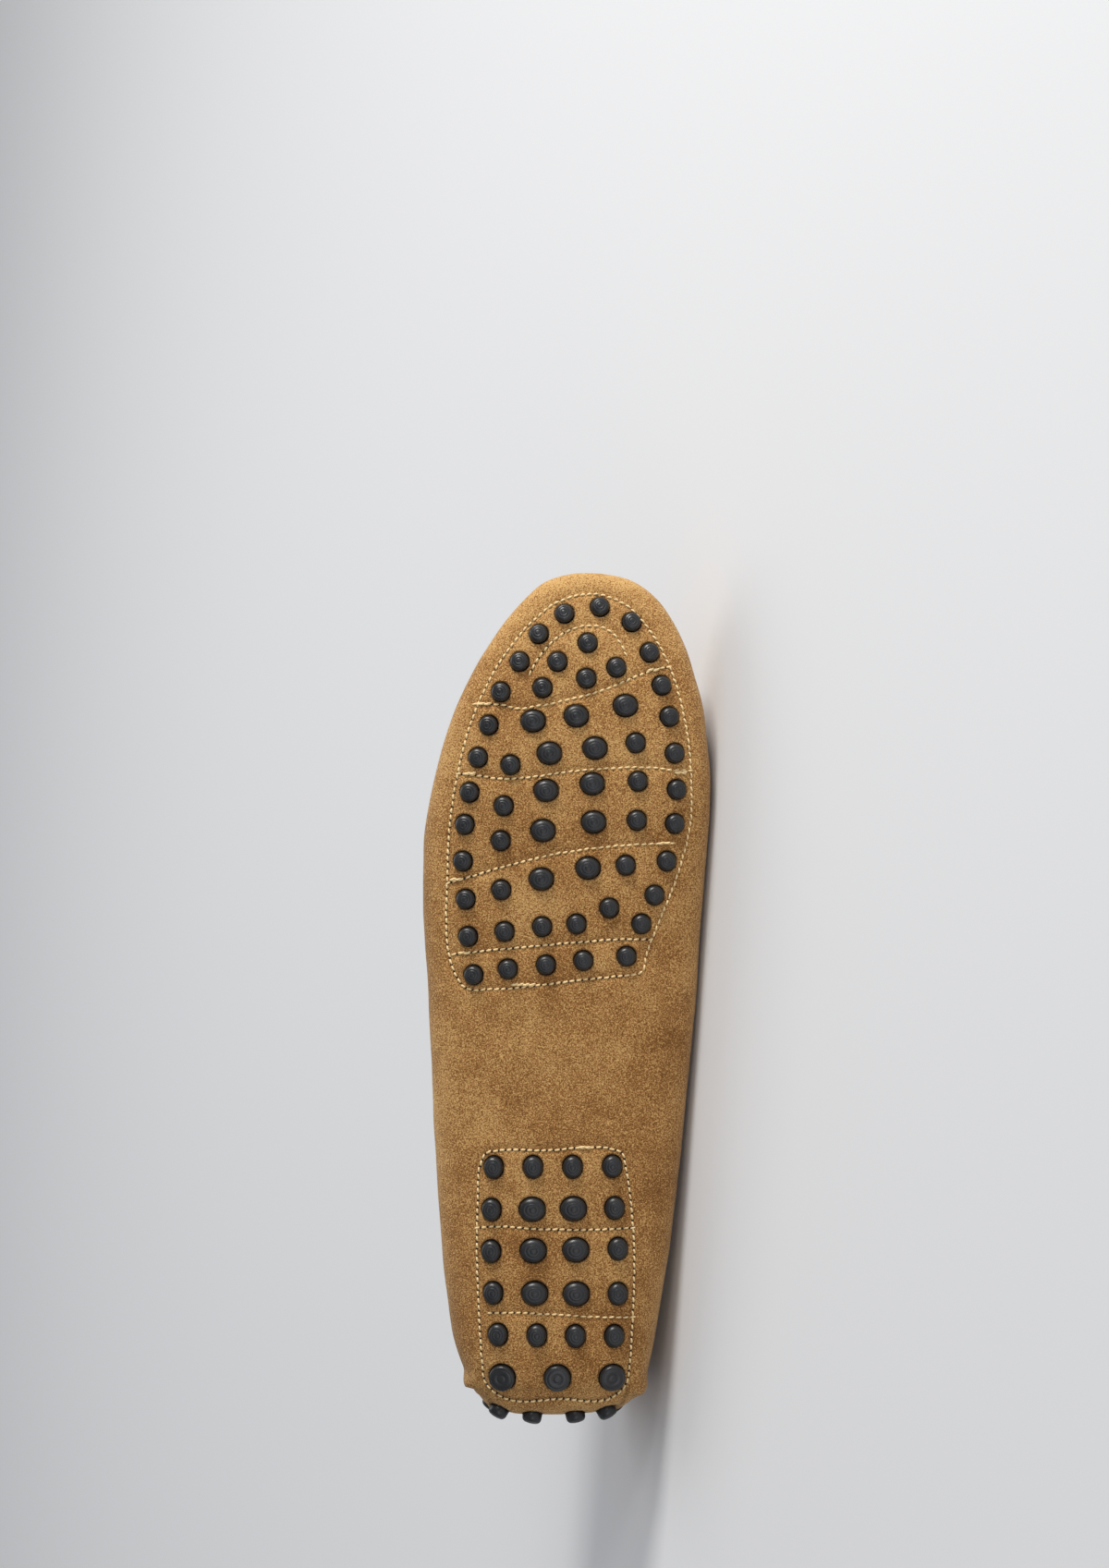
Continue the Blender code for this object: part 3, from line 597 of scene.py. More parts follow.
def sole_shares():
    """Shares of a rib at which its rows lie, at even steps over the sole and round its edge."""
    a = np.linspace(0.0, math.pi / 2, 2000)
    share = np.sin(a) ** (2.0 / SOLE_SQUARENESS)
    drop = np.cos(a) ** (2.0 / SOLE_SQUARENESS)
    arc = lengths_along(np.stack((share * 0.046, drop * 0.015), axis=1))
    at = np.linspace(0.0, arc[-1], int(arc[-1] / CELL) + 1)
    return np.interp(at, arc, share)


def grid_normals(grid, closed=True):
    """Outward normals of a grid of points, ribs first and rows second."""
    if closed:
        along = np.roll(grid, -1, axis=0) - np.roll(grid, 1, axis=0)
    else:
        along = np.gradient(grid, axis=0)
    up = np.gradient(grid, axis=1)
    normal = np.cross(along, up)
    size = np.linalg.norm(normal, axis=2)
    flat = size < 1e-14
    normal = normal / np.where(flat, 1.0, size)[..., None]
    normal[flat] = (0.0, 0.0, -1.0)
    return normal


def sole_normals(grid):
    """Outward normals of a grid whose first row runs along the sole's centre line."""
    normals = grid_normals(grid)
    normals[:, 0] = (0.0, 0.0, -1.0)
    return normals


def nearest(points, others):
    """Distance from each point to the nearest of some others."""
    best = np.full(len(points), 1e9)
    for i in range(0, len(others), 64):
        part = others[i:i + 64]
        d = ((points[:, None] - part[None]) ** 2).sum(axis=2).min(axis=1)
        best = np.minimum(best, d)
    return np.sqrt(best)


def inside(curve, points):
    """Whether plan points lie inside a closed curve."""
    x, y = points[:, 0], points[:, 1]
    found = np.zeros(len(points), dtype=bool)
    for a, b in zip(curve, np.roll(curve, -1, axis=0)):
        if a[1] == b[1]:
            continue
        level = (a[1] > y) != (b[1] > y)
        found ^= level & (x < (b[0] - a[0]) * (y - a[1]) / (b[1] - a[1]) + a[0])
    return found


def fractal(points, scale, octaves, offset):
    """Smooth noise at points, about -1 to 1."""
    o = Vector(offset)
    return np.array([noise.fractal(Vector(p) * scale + o, 0.9, 2.0, octaves) for p in points])


def add_object(name, data):
    item = bpy.data.objects.new(name, data)
    bpy.context.collection.objects.link(item)
    return item


def make_mesh(name, points, faces):
    """A piece from points in the shoe's own frame, laid down as the shoe lies."""
    mesh = bpy.data.meshes.new(name)
    m = np.array(SHOE_POSE)
    points = points @ m[:3, :3].T + m[:3, 3]
    mesh.from_pydata([tuple(p) for p in points], [], faces)
    mesh.validate()
    mesh.update()
    for polygon in mesh.polygons:
        polygon.use_smooth = True
    return add_object(name, mesh)


def grid_faces(columns, rows, closed, start=0, flip=False):
    faces = []
    last = columns if closed else columns - 1
    for i in range(last):
        a, b = start + i * rows, start + ((i + 1) % columns) * rows
        for j in range(rows - 1):
            quad = (a + j, b + j, b + j + 1, a + j + 1)
            faces.append(quad[::-1] if flip else quad)
    return faces


def band_faces(first, rings, sides, flip=False):
    """Faces between rings of points that follow one another."""
    faces = []
    for i in range(rings - 1):
        a, b = first + i * sides, first + (i + 1) * sides
        for k in range(sides):
            n = (k + 1) % sides
            quad = (a + k, a + n, b + n, b + k)
            faces.append(quad[::-1] if flip else quad)
    return faces


def shell_faces(columns, rows, inner_rows):
    """Faces of an outer sheet, an inner one and the rim that joins their last rows."""
    start = columns * rows
    faces = grid_faces(columns, rows, True) + grid_faces(columns, inner_rows, True, start, True)
    for i in range(columns):
        k = (i + 1) % columns
        faces.append((i * rows + rows - 1, k * rows + rows - 1,
                      start + k * inner_rows + inner_rows - 1, start + i * inner_rows + inner_rows - 1))
    return faces


def ring_points(centre, side, other, along, across, count):
    """Points round an ellipse, given its axes and half-sizes."""
    turn = np.linspace(0.0, 2.0 * math.pi, count, endpoint=False)
    return centre + side * (np.cos(turn) * along)[:, None] + other * (np.sin(turn) * across)[:, None]


def add_attribute(item, name, values):
    layer = item.data.attributes.new(name, "FLOAT", "POINT")
    layer.data.foreach_set("value", np.asarray(values, dtype=np.float32))


SEATS = stud_seats()
FORE_EDGE = np.array(outline_curve(FORE_PANEL, FORE_PANEL_BACK, FORE_PANEL_TIP, 12))
HEEL_EDGE = np.array(outline_curve(HEEL_PANEL, HEEL_PANEL_BACK, HEEL_PANEL_TIP, 12))
LINES = [np.array(spline(plan(line), 12, False)) for line in PANEL_LINES]


def tab_half(z):
    """Half the width of the turned-up heel piece at a height."""
    return TAB_FOOT + (TAB_HEAD - TAB_FOOT) * np.clip(z / TAB_TOP, 0.0, 1.0)


def tab_zone(points):
    """How far inside the turned-up heel piece points lie: above 0 inside, metres."""
    x, y, z = points.T
    inside_edge = np.minimum(tab_half(z) - np.abs(y - TAB_CENTRE), TAB_TOP - z)
    return np.minimum(inside_edge, np.where(z < TAB_CORNER, TAB_BACK - x, 1.0))


def suede_heights(points):
    """Relief of the suede at surface points: quilting, turned-up heel piece and soft hollows."""
    x, y, z = points.T
    low = np.where(z < UNDERSIDE)[0]
    flat = points[low, :2]
    thread = [even(FORE_EDGE, 0.0006, True)[0], even(HEEL_EDGE, 0.0006, True)[0]]
    thread += [even(line, 0.0006)[0] for line in LINES]
    from_thread = np.full(len(points), 1.0)
    from_thread[low] = nearest(flat, np.concatenate(thread))
    panel = np.zeros(len(points), dtype=bool)
    panel[low] = inside(FORE_EDGE, flat) | inside(HEEL_EDGE, flat)
    height = -QUILT_TROUGH * np.exp(-(from_thread / QUILT_WIDTH) ** 2)
    puff = QUILT_PUFF * (1.0 - np.exp(-(from_thread / 0.0045) ** 2))
    height += puff * np.where(panel, 1.0, 0.5 * np.exp(-(from_thread / 0.006) ** 2))
    zone = tab_zone(points)
    heel = x < 0.040
    step = smoothstep(-0.0002, 0.0002, zone) * heel
    rim = np.exp(-np.maximum(-zone, 0.0) / 0.010) * (1.0 - step) * heel * smoothstep(0.040, 0.015, x)
    beside = smoothstep(0.0250, 0.0270, np.abs(y - TAB_CENTRE))
    rim *= smoothstep(0.0, 0.006, z) * np.maximum(beside, smoothstep(TAB_CORNER, TAB_CORNER + 0.006, z))
    height += TAB_STEP * (rim - 0.5 * step)
    height += 0.00022 * fractal(points, 55.0, 2, (3.1, 7.7, 1.3)) * np.where(panel, 0.4, 1.0)
    return height


def corner_flaps(points):
    """Sideways shift of the side panels' back corners, which stand proud of the heel piece."""
    x, y, z = points.T
    tall = smoothstep(0.004, 0.010, z) * smoothstep(0.042, 0.030, z)
    shift = np.zeros(len(points))
    edge = np.zeros(len(points))
    for sign, back, amount in HEEL_CORNERS:
        side = (y * sign > 0.018) * tall
        shift += sign * amount * side * smoothstep(0.0172, back, x) * (x > back)
        edge += side * np.exp(-((x - back) / 0.00055) ** 2)
    return shift, np.clip(edge, 0.0, 1.0)


def stud_holes():
    """The punched hole round each stud: pad, middle, normal, its axes and half-sizes."""
    rng = random.Random(SEED)
    holes = []
    for pad, kind, centre, normal in SEATS:
        along, across = (v * 0.001 for v in STUD_SIZES[(pad, kind)])
        side, other = stud_axes(normal)
        shift = side * rng.uniform(0.00002, 0.00016) + other * rng.uniform(-0.00018, 0.00002)
        holes.append((pad, centre + shift, normal, side, other, along + HOLE_GAP, across + HOLE_GAP))
    return holes


def dimple(rho):
    """Depth of the suede's fall towards a hole, by distance from its edge."""
    return -DIMPLE_DEPTH * np.exp(-np.maximum(rho, 0.0) / DIMPLE_WIDTH)


def stud_wells(points, normals, height):
    """Suede pushed down under each stud, with the mesh drawn to the hole's edge up the heel's back."""
    hole = np.full(len(points), 1.0)
    moved = points + normals * height[:, None]
    for pad, centre, normal, side, other, ra, rb in stud_holes():
        near = np.where(((points - centre) ** 2).sum(axis=1) < WELL_REACH ** 2)[0]
        near = near[np.abs((points[near] - centre) @ normal) < 0.005]
        offset = points[near] - centre
        u, v = offset @ side, offset @ other
        q = np.maximum(np.hypot(u / ra, v / rb), 1e-6)
        mean = (ra + rb) / 2
        rho = (q - 1.0) * mean
        inner = rho < 0.00025
        if pad == "back":
            inner = rho < -CELL * 0.52
            target = q.copy()
            target[np.abs(rho) <= CELL * 0.52] = 1.0
            target[inner & (rho > -CELL * 1.6)] = 1.0 - 0.00010 / mean
            slide = target / q - 1.0
            moved[near] += side[None] * (u * slide)[:, None] + other[None] * (v * slide)[:, None]
        moved[near] += normals[near] * np.where(inner, -WELL_DEPTH, dimple(rho))[:, None]
        # Distance from the nearest hole's edge, 0 inside it: it sets the painted shade in the gap round each
        # stud
        hole[near] = np.minimum(hole[near], np.abs(np.where(inner, 0.0, rho)))
    return moved, hole


def make_hole_edges():
    """The rolled edge of each punched hole in the sole, a smooth ring laid over the suede."""
    segments = 36
    rings, section, faces = [], [], []
    for pad, centre, _, side, other, ra, rb in stud_holes():
        if pad == "back":
            continue
        faces += band_faces(len(rings) * segments, len(HOLE_EDGE), segments, True)
        for out, rise in HOLE_EDGE:
            rings.append(ring_points(centre, side, other, ra + out, rb + out, segments)[:, :2])
            section.append((out, rise))
    seats, normals = on_sole(np.concatenate(rings))
    out, rise = np.repeat(section, segments, axis=0).T
    points = seats + normals * (suede_heights(seats) + dimple(out) + rise)[:, None]
    item = make_mesh("hole_edges", points, faces)
    add_attribute(item, "tone", nap_and_painted_light_tone(seats))
    # Painted shade: darkest at the inner lip, where the edge falls into the gap round the stud
    add_attribute(item, "hole", np.where(out < 0.0001, 1.0, np.where(out < 0.0004, 0.35, 0.0)))
    item.data.materials.append(MATERIALS["suede"])
    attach(item, "root")


def gathers(path, ribs, first, full):
    """Waves along the U seam, which grow towards the toe between two stations."""
    wave = np.sin(lengths_along(path) / GATHER_PITCH * 2.0 * math.pi)
    return (wave * smoothstep(first, full, ribs.end))[:, None]


def shell_grid(ribs, shares, rim, wall_rows):
    """Points over the sole and up the wall to the rim, ribs first and rows second."""
    turns = rim[:, None] * np.linspace(0.0, 1.0, wall_rows + 1)[None, 1:]
    return np.concatenate((ribs.sole(np.tile(shares, (len(rim), 1))), ribs.wall(turns)), axis=1)


def make_upper():
    ribs = dense_ribs()
    rim = ribs.rim_turn()
    base = shell_grid(ribs, sole_shares(), rim, int(0.052 / WALL_CELL))
    columns, rows = base.shape[:2]
    points = base.reshape(-1, 3)
    height = suede_heights(points).reshape(columns, rows)
    # Raised seam and gathers along the U seam, fading out behind the throat
    from_rim = np.linalg.norm(np.diff(base, axis=1), axis=2)[:, ::-1].cumsum(axis=1)[:, ::-1]
    from_rim = np.concatenate((from_rim, np.zeros((columns, 1))), axis=1)
    front = smoothstep(THROAT - 0.03, THROAT + 0.01, ribs.station)[:, None]
    height += SEAM_RISE * front * smoothstep(SEAM_WIDTH + 0.0004, SEAM_WIDTH - 0.0006, from_rim)
    gather = gathers(base[:, -1], ribs, 0.70, 0.86)
    height += 0.00045 * gather * np.exp(-((from_rim - 0.006) / 0.005) ** 2)
    moved, hole = stud_wells(points, sole_normals(base).reshape(-1, 3), height.reshape(-1))
    shift, flap_edge = corner_flaps(points)
    moved[:, 1] += shift
    # Inner side: the lining, on fewer rows
    inner = shell_grid(ribs, (0.0, 0.3, 0.6, 0.78, 0.90, 0.97, 1.0), rim, 8)
    inner = inner - sole_normals(inner) * (WALL + 0.0002)
    faces = shell_faces(columns, rows, inner.shape[1])
    item = make_mesh("suede_upper", np.concatenate((moved, inner.reshape(-1, 3))), faces)
    lining = np.zeros(inner.shape[0] * inner.shape[1])
    add_attribute(item, "tone", np.concatenate((nap_and_painted_light_tone(points), lining)))
    # Darkening: painted shade in the gap round each stud, and darker lines along the heel piece's raw edge
    # and the side corners' edges
    raw = np.exp(-(tab_zone(points) / 0.00045) ** 2) * (points[:, 0] < 0.036) * (points[:, 2] > 0.003)
    dark = np.maximum(np.exp(-(hole / 0.00030) ** 2), 0.55 * np.maximum(raw, flap_edge))
    add_attribute(item, "hole", np.concatenate((dark, lining)))
    item.data.materials.append(MATERIALS["suede"])
    item.data.materials.append(MATERIALS["lining"])
    for polygon in item.data.polygons[columns * (rows - 1):len(faces) - columns]:
        polygon.material_index = 1
    weld(item)
    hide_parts("upper")
    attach(item, "root")


def weld(item):
    bm = bmesh.new()
    bm.from_mesh(item.data)
    bmesh.ops.remove_doubles(bm, verts=bm.verts, dist=0.000004)
    bm.to_mesh(item.data)
    bm.free()
    item.data.update()


def nap_noise(points):
    return fractal(points, 42.0, 3, (9.2, 1.4, 5.0))


def nap_and_painted_light_tone(points):
    """Broad light and dark of the suede: the nap's own noise and patches, with painted light and shade,
    lighter towards the toe, a painted highlight at the toe and painted shade along both edges. Above 0
    lighter, below 0 darker.
    """
    x, y = points[:, 0] / LENGTH, points[:, 1] / BALL_WIDTH
    # Nap noise, and painted light that grows from the heel towards the toe
    tone = 0.68 * nap_noise(points) + 0.40 * (x - 0.5)
    # Toe end: painted highlight, strongest at its very rim. Heel end: lighter
    tone += 0.35 * smoothstep(0.88, 0.97, x) + 1.15 * smoothstep(0.965, 1.0, x)
    tone += 0.40 * smoothstep(0.05, 0.02, x)
    # Medial edge: painted shade, in bands along its length
    medial_edge = smoothstep(0.30, 0.50, y) * smoothstep(0.98, 0.90, x)
    tone -= 0.34 * medial_edge * (0.6 + 0.4 * np.sin(x * 19.0))
    # Lateral edge: painted shade, with a painted lighter band beside it
    tone -= 0.44 * smoothstep(0.46, 0.50, -y)
    tone += 0.12 * smoothstep(0.36, 0.42, -y) * smoothstep(0.47, 0.44, -y)
    for amount, station, across, along, wide in NAP_PATCHES:
        tone += amount * np.exp(-((x - station) / along) ** 2 - ((y - across) / wide) ** 2)
    return np.clip(tone, -1.0, 1.0)


def make_insole():
    ribs = round_ribs(60, 40, 34)
    shares = (0.0, 0.3, 0.5, 0.66, 0.78, 0.86, 0.895, 0.90)
    grid = ribs.sole(np.tile(shares, (len(ribs.station), 1)))
    normals = sole_normals(grid)
    columns, rows = grid.shape[:2]
    depth = WALL + 2 * GAP + PAD
    points = np.concatenate([(grid - normals * d).reshape(-1, 3) for d in (depth, depth + INSOLE)])
    item = make_mesh("insole_sock", points, shell_faces(columns, rows, rows))
    weld(item)
    item.data.materials.append(MATERIALS["insole"])
    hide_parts("insole")
    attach(item, "root")


def make_studs(name, pads, node):
    """The studs on some pads, as one piece."""
    rng = random.Random(SEED + len(name))
    segments = 28
    points, faces = [], []
    for pad, kind, centre, normal in SEATS:
        if pad not in pads:
            continue
        along, across = (v * 0.001 for v in STUD_SIZES[(pad, kind)])
        side, other = stud_axes(normal)
        tilt = normal + side * rng.uniform(-0.03, 0.03) + other * rng.uniform(-0.03, 0.03)
        tilt = tilt / np.linalg.norm(tilt)
        start = len(points)
        section = HEEL_STUD_SECTION if kind == "heel" else STUD_SECTION
        for share, z in section:
            middle = centre + tilt * (z * 0.001)
            points += list(ring_points(middle, side, other, along * share, across * share, segments))
        top, last = len(points), len(points) - segments
        points.append(centre + tilt * ((section[-1][1] + 0.01) * 0.001))
        faces += band_faces(start, len(section), segments)
        faces += [(last + k, last + (k + 1) % segments, top) for k in range(segments)]
        faces.append(tuple(range(start, start + segments))[::-1])
    item = make_mesh(name, np.array(points), faces)
    item.data.materials.append(MATERIALS["rubber"])
    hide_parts(node)
    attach(item, "root")


def capsule(points, faces, start, end, normal, radius, lift):
    """One stitch of thread: a short rounded strand from hole to hole, humped in its middle."""
    rings, sides = 7, 6
    along = end - start
    across = np.cross(normal, along)
    across = across / np.linalg.norm(across)
    first = len(points)
    for i in range(rings):
        t = i / (rings - 1)
        hump = math.sin(math.pi * t) ** 0.6
        centre = start + along * t + normal * (lift * hump - radius * 0.9)
        r = radius * (0.55 + 0.45 * hump)
        points += list(ring_points(centre, across, normal, r, r, sides))
    faces += band_faces(first, rings, sides)
    faces.append(tuple(range(first, first + sides))[::-1])
    faces.append(tuple(range(len(points) - sides, len(points))))


def needle_hole(points, faces, centre, normal):
    """A small well where the needle went through, in a near-black material that paints the shade inside it.
    """
    sides = 8
    side, other = stud_axes(normal)
    first = len(points)
    for depth, radius in ((0.00012, NEEDLE_RADIUS), (-0.0004, NEEDLE_RADIUS * 0.75)):
        points += list(ring_points(centre + normal * depth, side, other, radius, radius, sides))
    faces += band_faces(first, 2, sides, True)
    faces.append(tuple(range(first, first + sides)))
    faces.append(tuple(range(first + sides, first + 2 * sides))[::-1])


class Thread:
    """Collects stitches and needle holes, then makes one piece of each."""

    def __init__(self):
        self.points, self.faces = [], []
        self.hole_points, self.hole_faces = [], []
        self.rng = random.Random(SEED + 5)

    def stitch(self, centre, along, normal, length, sink, slant=STITCH_SLANT, radius=STITCH_RADIUS):
        along = along - normal * float(along @ normal)
        along = along / np.linalg.norm(along)
        across = np.cross(normal, along)
        turn = slant + self.rng.uniform(-0.09, 0.09)
        heading = along * math.cos(turn) + across * math.sin(turn)
        middle = centre - normal * sink + along * self.rng.uniform(-0.00007, 0.00007)
        middle = middle + across * self.rng.uniform(-0.00010, 0.00010)
        half = heading * (length * self.rng.uniform(0.46, 0.54))
        capsule(self.points, self.faces, middle - half, middle + half, normal,
                radius * self.rng.uniform(0.92, 1.1), radius * 1.15)

    def row(self, line, normals, pitch, length, sink=0.0, crossed=False, **kind):
        """Stitches at equal steps along a line, or laid across it."""
        places, ways = even(line, pitch)
        index = np.linspace(0, len(line) - 1, len(places)).round().astype(int)
        for place, way, normal in zip(places, ways, normals[index]):
            self.stitch(place, np.cross(normal, way) if crossed else way, normal, length, sink, **kind)

    def plan_line(self, curve, closed):
        """Stitches in a quilted groove, with a needle hole between each two."""
        places, ways = even(curve, STITCH_PITCH, closed)
        for seat, normal, way in zip(*on_sole(places), ways):
            self.stitch(seat, np.array((*way, 0.0)), normal, STITCH_LENGTH, QUILT_TROUGH * 0.45)
        holes, _ = even(curve, STITCH_PITCH / 2, closed)
        for seat, normal in zip(*on_sole(holes[1::2])):
            needle_hole(self.hole_points, self.hole_faces, seat - normal * QUILT_TROUGH * 0.85, normal)

    def make(self):
        thread = ("thread", self.points, self.faces, "thread")
        holes = ("needle_holes", self.hole_points, self.hole_faces, "hole")
        for name, points, faces, material in (thread, holes):
            item = make_mesh(name, np.array(points), faces)
            item.data.materials.append(MATERIALS[material])
            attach(item, "root")


def make_apron():
    ribs = front_ribs(70, 90)
    edge = (ribs.seam_turn() + 0.008)[:, None]
    rows = 30
    grid = ribs.wall(edge + (math.pi / 2 - edge) * np.linspace(0.0, 1.0, rows)[None])
    columns = len(grid)
    normals = grid_normals(grid, closed=False)
    normals[:, -1] = (0.0, 0.0, 1.0)
    from_seam = np.linalg.norm(np.diff(grid, axis=1), axis=2).cumsum(axis=1)
    from_seam = np.concatenate((np.zeros((columns, 1)), from_seam), axis=1)
    height = 0.0004 * gathers(grid[:, 0], ribs, 0.66, 0.84) * np.exp(-from_seam / 0.007)
    height += 0.0005 * (1.0 - np.exp(-from_seam / 0.004)) - 0.0004 * np.exp(-from_seam / 0.0012)
    outer = grid + normals * height[..., None]
    inner = grid - normals * WALL
    points = np.concatenate((outer.reshape(-1, 3), inner.reshape(-1, 3)))
    base = columns * rows
    faces = grid_faces(columns, rows, False) + grid_faces(columns, rows, False, base, True)
    for i in range(columns - 1):
        a, b = i * rows, (i + 1) * rows
        faces.append((b, a, base + a, base + b))
    for i in (0, columns - 1):
        for a in range(i * rows, (i + 1) * rows - 1):
            quad = (a, a + 1, base + a + 1, base + a)
            faces.append(quad if i == 0 else quad[::-1])
    item = make_mesh("suede_apron", points, faces)
    tone = 0.5 * nap_noise(grid.reshape(-1, 3))
    add_attribute(item, "tone", np.concatenate((tone, np.zeros(len(tone)))))
    add_attribute(item, "hole", np.zeros(len(points)))
    weld(item)
    item.data.materials.append(MATERIALS["suede"])
    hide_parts("apron")
    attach(item, "root")


def make_binding(thread):
    """The bound edge round the opening: a section carried along the rim, and its row of stitches."""
    ribs = collar_ribs(90, 70)
    rim = ribs.rim_turn()[:, None]
    here = ribs.wall(rim)[:, 0]
    up = here - ribs.wall(rim - 0.02)[:, 0]
    length = np.linalg.norm(up, axis=1)[:, None]
    low = rim - 0.02 * BINDING_LIP / length
    up = up / length
    normal = rib_normal(ribs, up)
    foot = ribs.wall(low)[:, 0]
    foot_normal = rib_normal(ribs, foot - ribs.wall(low - 0.02)[:, 0])
    out = GAP + BINDING_SKIN
    back = -WALL - out
    middle, radius = (out + back) / 2, (out - back) / 2
    bead = []
    for k in range(7):
        a = math.pi * k / 6
        bead.append(here + normal * (middle + math.cos(a) * radius) + up * (math.sin(a) * out))
    grid = np.stack((
        foot + foot_normal * GAP,
        foot + foot_normal * (out - 0.0002) - up * 0.0001,
        foot + foot_normal * out + up * 0.0004,
        (foot + foot_normal * (out + 0.00015) + here + normal * (out + 0.00015)) / 2,
        *bead,
        (foot + foot_normal * back + here + normal * back) / 2,
        foot + foot_normal * back,
        foot + foot_normal * (-WALL - GAP),
        here + normal * (-WALL - GAP) + up * GAP,
        here + normal * GAP + up * GAP,
    ), axis=1)
    columns, rows = grid.shape[:2]
    points = grid.reshape(-1, 3)
    faces = band_faces(0, columns, rows)
    faces.append(tuple(range(rows))[::-1])
    faces.append(tuple(range((columns - 1) * rows, columns * rows)))
    item = make_mesh("suede_binding", points, faces)
    add_attribute(item, "tone", -0.45 + 0.3 * fractal(points, 42.0, 2, (1.0, 2.0, 3.0)))
    add_attribute(item, "hole", np.zeros(len(points)))
    item.data.materials.append(MATERIALS["suede"])
    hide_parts("collar_binding")
    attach(item, "root")
    line = foot + foot_normal * (out - 0.0001) + up * 0.0011
    thread.row(line, foot_normal, *BINDING_STITCH, slant=0.0, radius=ROW_RADIUS)


def seam_thread(thread):
    """Thread over the raised U seam."""
    ribs = front_ribs(60, 80)
    turn = ribs.seam_turn()[:, None]
    here = ribs.wall(turn - 0.035)[:, 0]
    normal = rib_normal(ribs, here - ribs.wall(turn - 0.055)[:, 0])
    line = here + normal * (SEAM_RISE + 0.0001)
    thread.row(line, normal, *SEAM_STITCH, crossed=True, slant=0.45, radius=ROW_RADIUS)


def heel_thread(thread):
    """Thread up both sides of the heel piece and over its top."""
    beside = 0.0015
    rows = []
    for side in (-1.0, 1.0):
        heights = TAB_CORNER + (TAB_TOP - TAB_CORNER) * np.linspace(0.10, 1.0, 24)
        rows.append([(TAB_CENTRE + side * (tab_half(z) + beside), z) for z in heights])
    rows.append([(TAB_CENTRE + x, TAB_TOP + beside) for x in np.linspace(-TAB_HEAD, TAB_HEAD, 12)])
    for marks in rows:
        points, normals = on_heel(marks)
        thread.row(points, normals, *HEEL_STITCH, sink=-TAB_STEP * 0.5)


def on_heel(marks):
    """Points and normals on the back of the heel at places across and heights."""
    points, normals = [], []
    for across, z in marks:
        centre, back, y = heel_start(across)
        for _ in range(4):
            ribs, _ = ribs_at([centre + np.array((-back, y))])
            turn = ribs.turn_at_height(max(z, ribs.widest[0] + 0.0002))[:, None]
            seats, ways_out = on_wall(ribs, turn)
            y += (across - seats[0, 1]) * 0.8
        points.append(seats[0])
        normals.append(ways_out[0])
    return np.array(points), np.array(normals)


def bar_tacks(thread):
    """Short doubled rows of stitches where the thread lines end."""
    for station, across, count, slant in BAR_TACKS:
        places = plan([(station, across + (k - (count - 1) / 2) * 0.020) for k in range(count)])
        for seat, normal in zip(*on_sole(places)):
            thread.stitch(seat, ACROSS, normal, 0.0021, -0.0001, slant, 0.00042)
            thread.stitch(seat + TACK_SHIFT, ACROSS, normal, 0.0018, -0.0002, slant + 0.25, 0.00036)


class Material:
    """A material of nodes. Each method below the first adds one node and gives its output."""

    def __init__(self, name, colour, roughness):
        self.data = bpy.data.materials.new(name)
        self.data.use_nodes = True
        self.tree = self.data.node_tree
        self.shader = self.tree.nodes["Principled BSDF"].inputs
        self.shader["Base Color"].default_value = (*colour, 1.0)
        self.shader["Roughness"].default_value = roughness

    def add(self, kind, output, inputs, **settings):
        node = self.tree.nodes.new("ShaderNode" + kind)
        for name, value in settings.items():
            setattr(node, name, value)
        for socket, value in inputs.items():
            if isinstance(value, bpy.types.NodeSocket):
                self.tree.links.new(value, node.inputs[socket])
            else:
                node.inputs[socket].default_value = (*value, 1.0) if isinstance(value, tuple) else value
        return node.outputs[output]

    def place(self):
        return self.add("TexCoord", "Object", {})

    def noise(self, scale, detail, roughness=0.6):
        inputs = {"Scale": scale, "Detail": detail, "Roughness": roughness, "Vector": self.place()}
        return self.add("TexNoise", "Fac", inputs)

    def attribute(self, name):
        return self.add("Attribute", "Fac", {}, attribute_name=name)

    def maths(self, kind, *values):
        return self.add("Math", 0, dict(enumerate(values)), operation=kind)

    def mix(self, factor, a, b):
        return self.add("Mix", 2, {0: factor, 6: a, 7: b}, data_type="RGBA")

    def bump(self, height, strength, distance, **normal):
        inputs = {"Strength": strength, "Distance": distance, "Height": height, **normal}
        return self.add("Bump", "Normal", inputs)

    def ramp(self, value, stops):
        output = self.add("ValToRGB", "Color", {"Fac": value})
        elements = output.node.color_ramp.elements
        while len(elements) < len(stops):
            elements.new(0.5)
        for element, (place, colour) in zip(elements, stops):
            element.position = place
            element.color = (*colour, 1.0)
        return output

    def feed(self, socket, output):
        """Links an output to the shader."""
        self.tree.links.new(output, self.shader[socket])


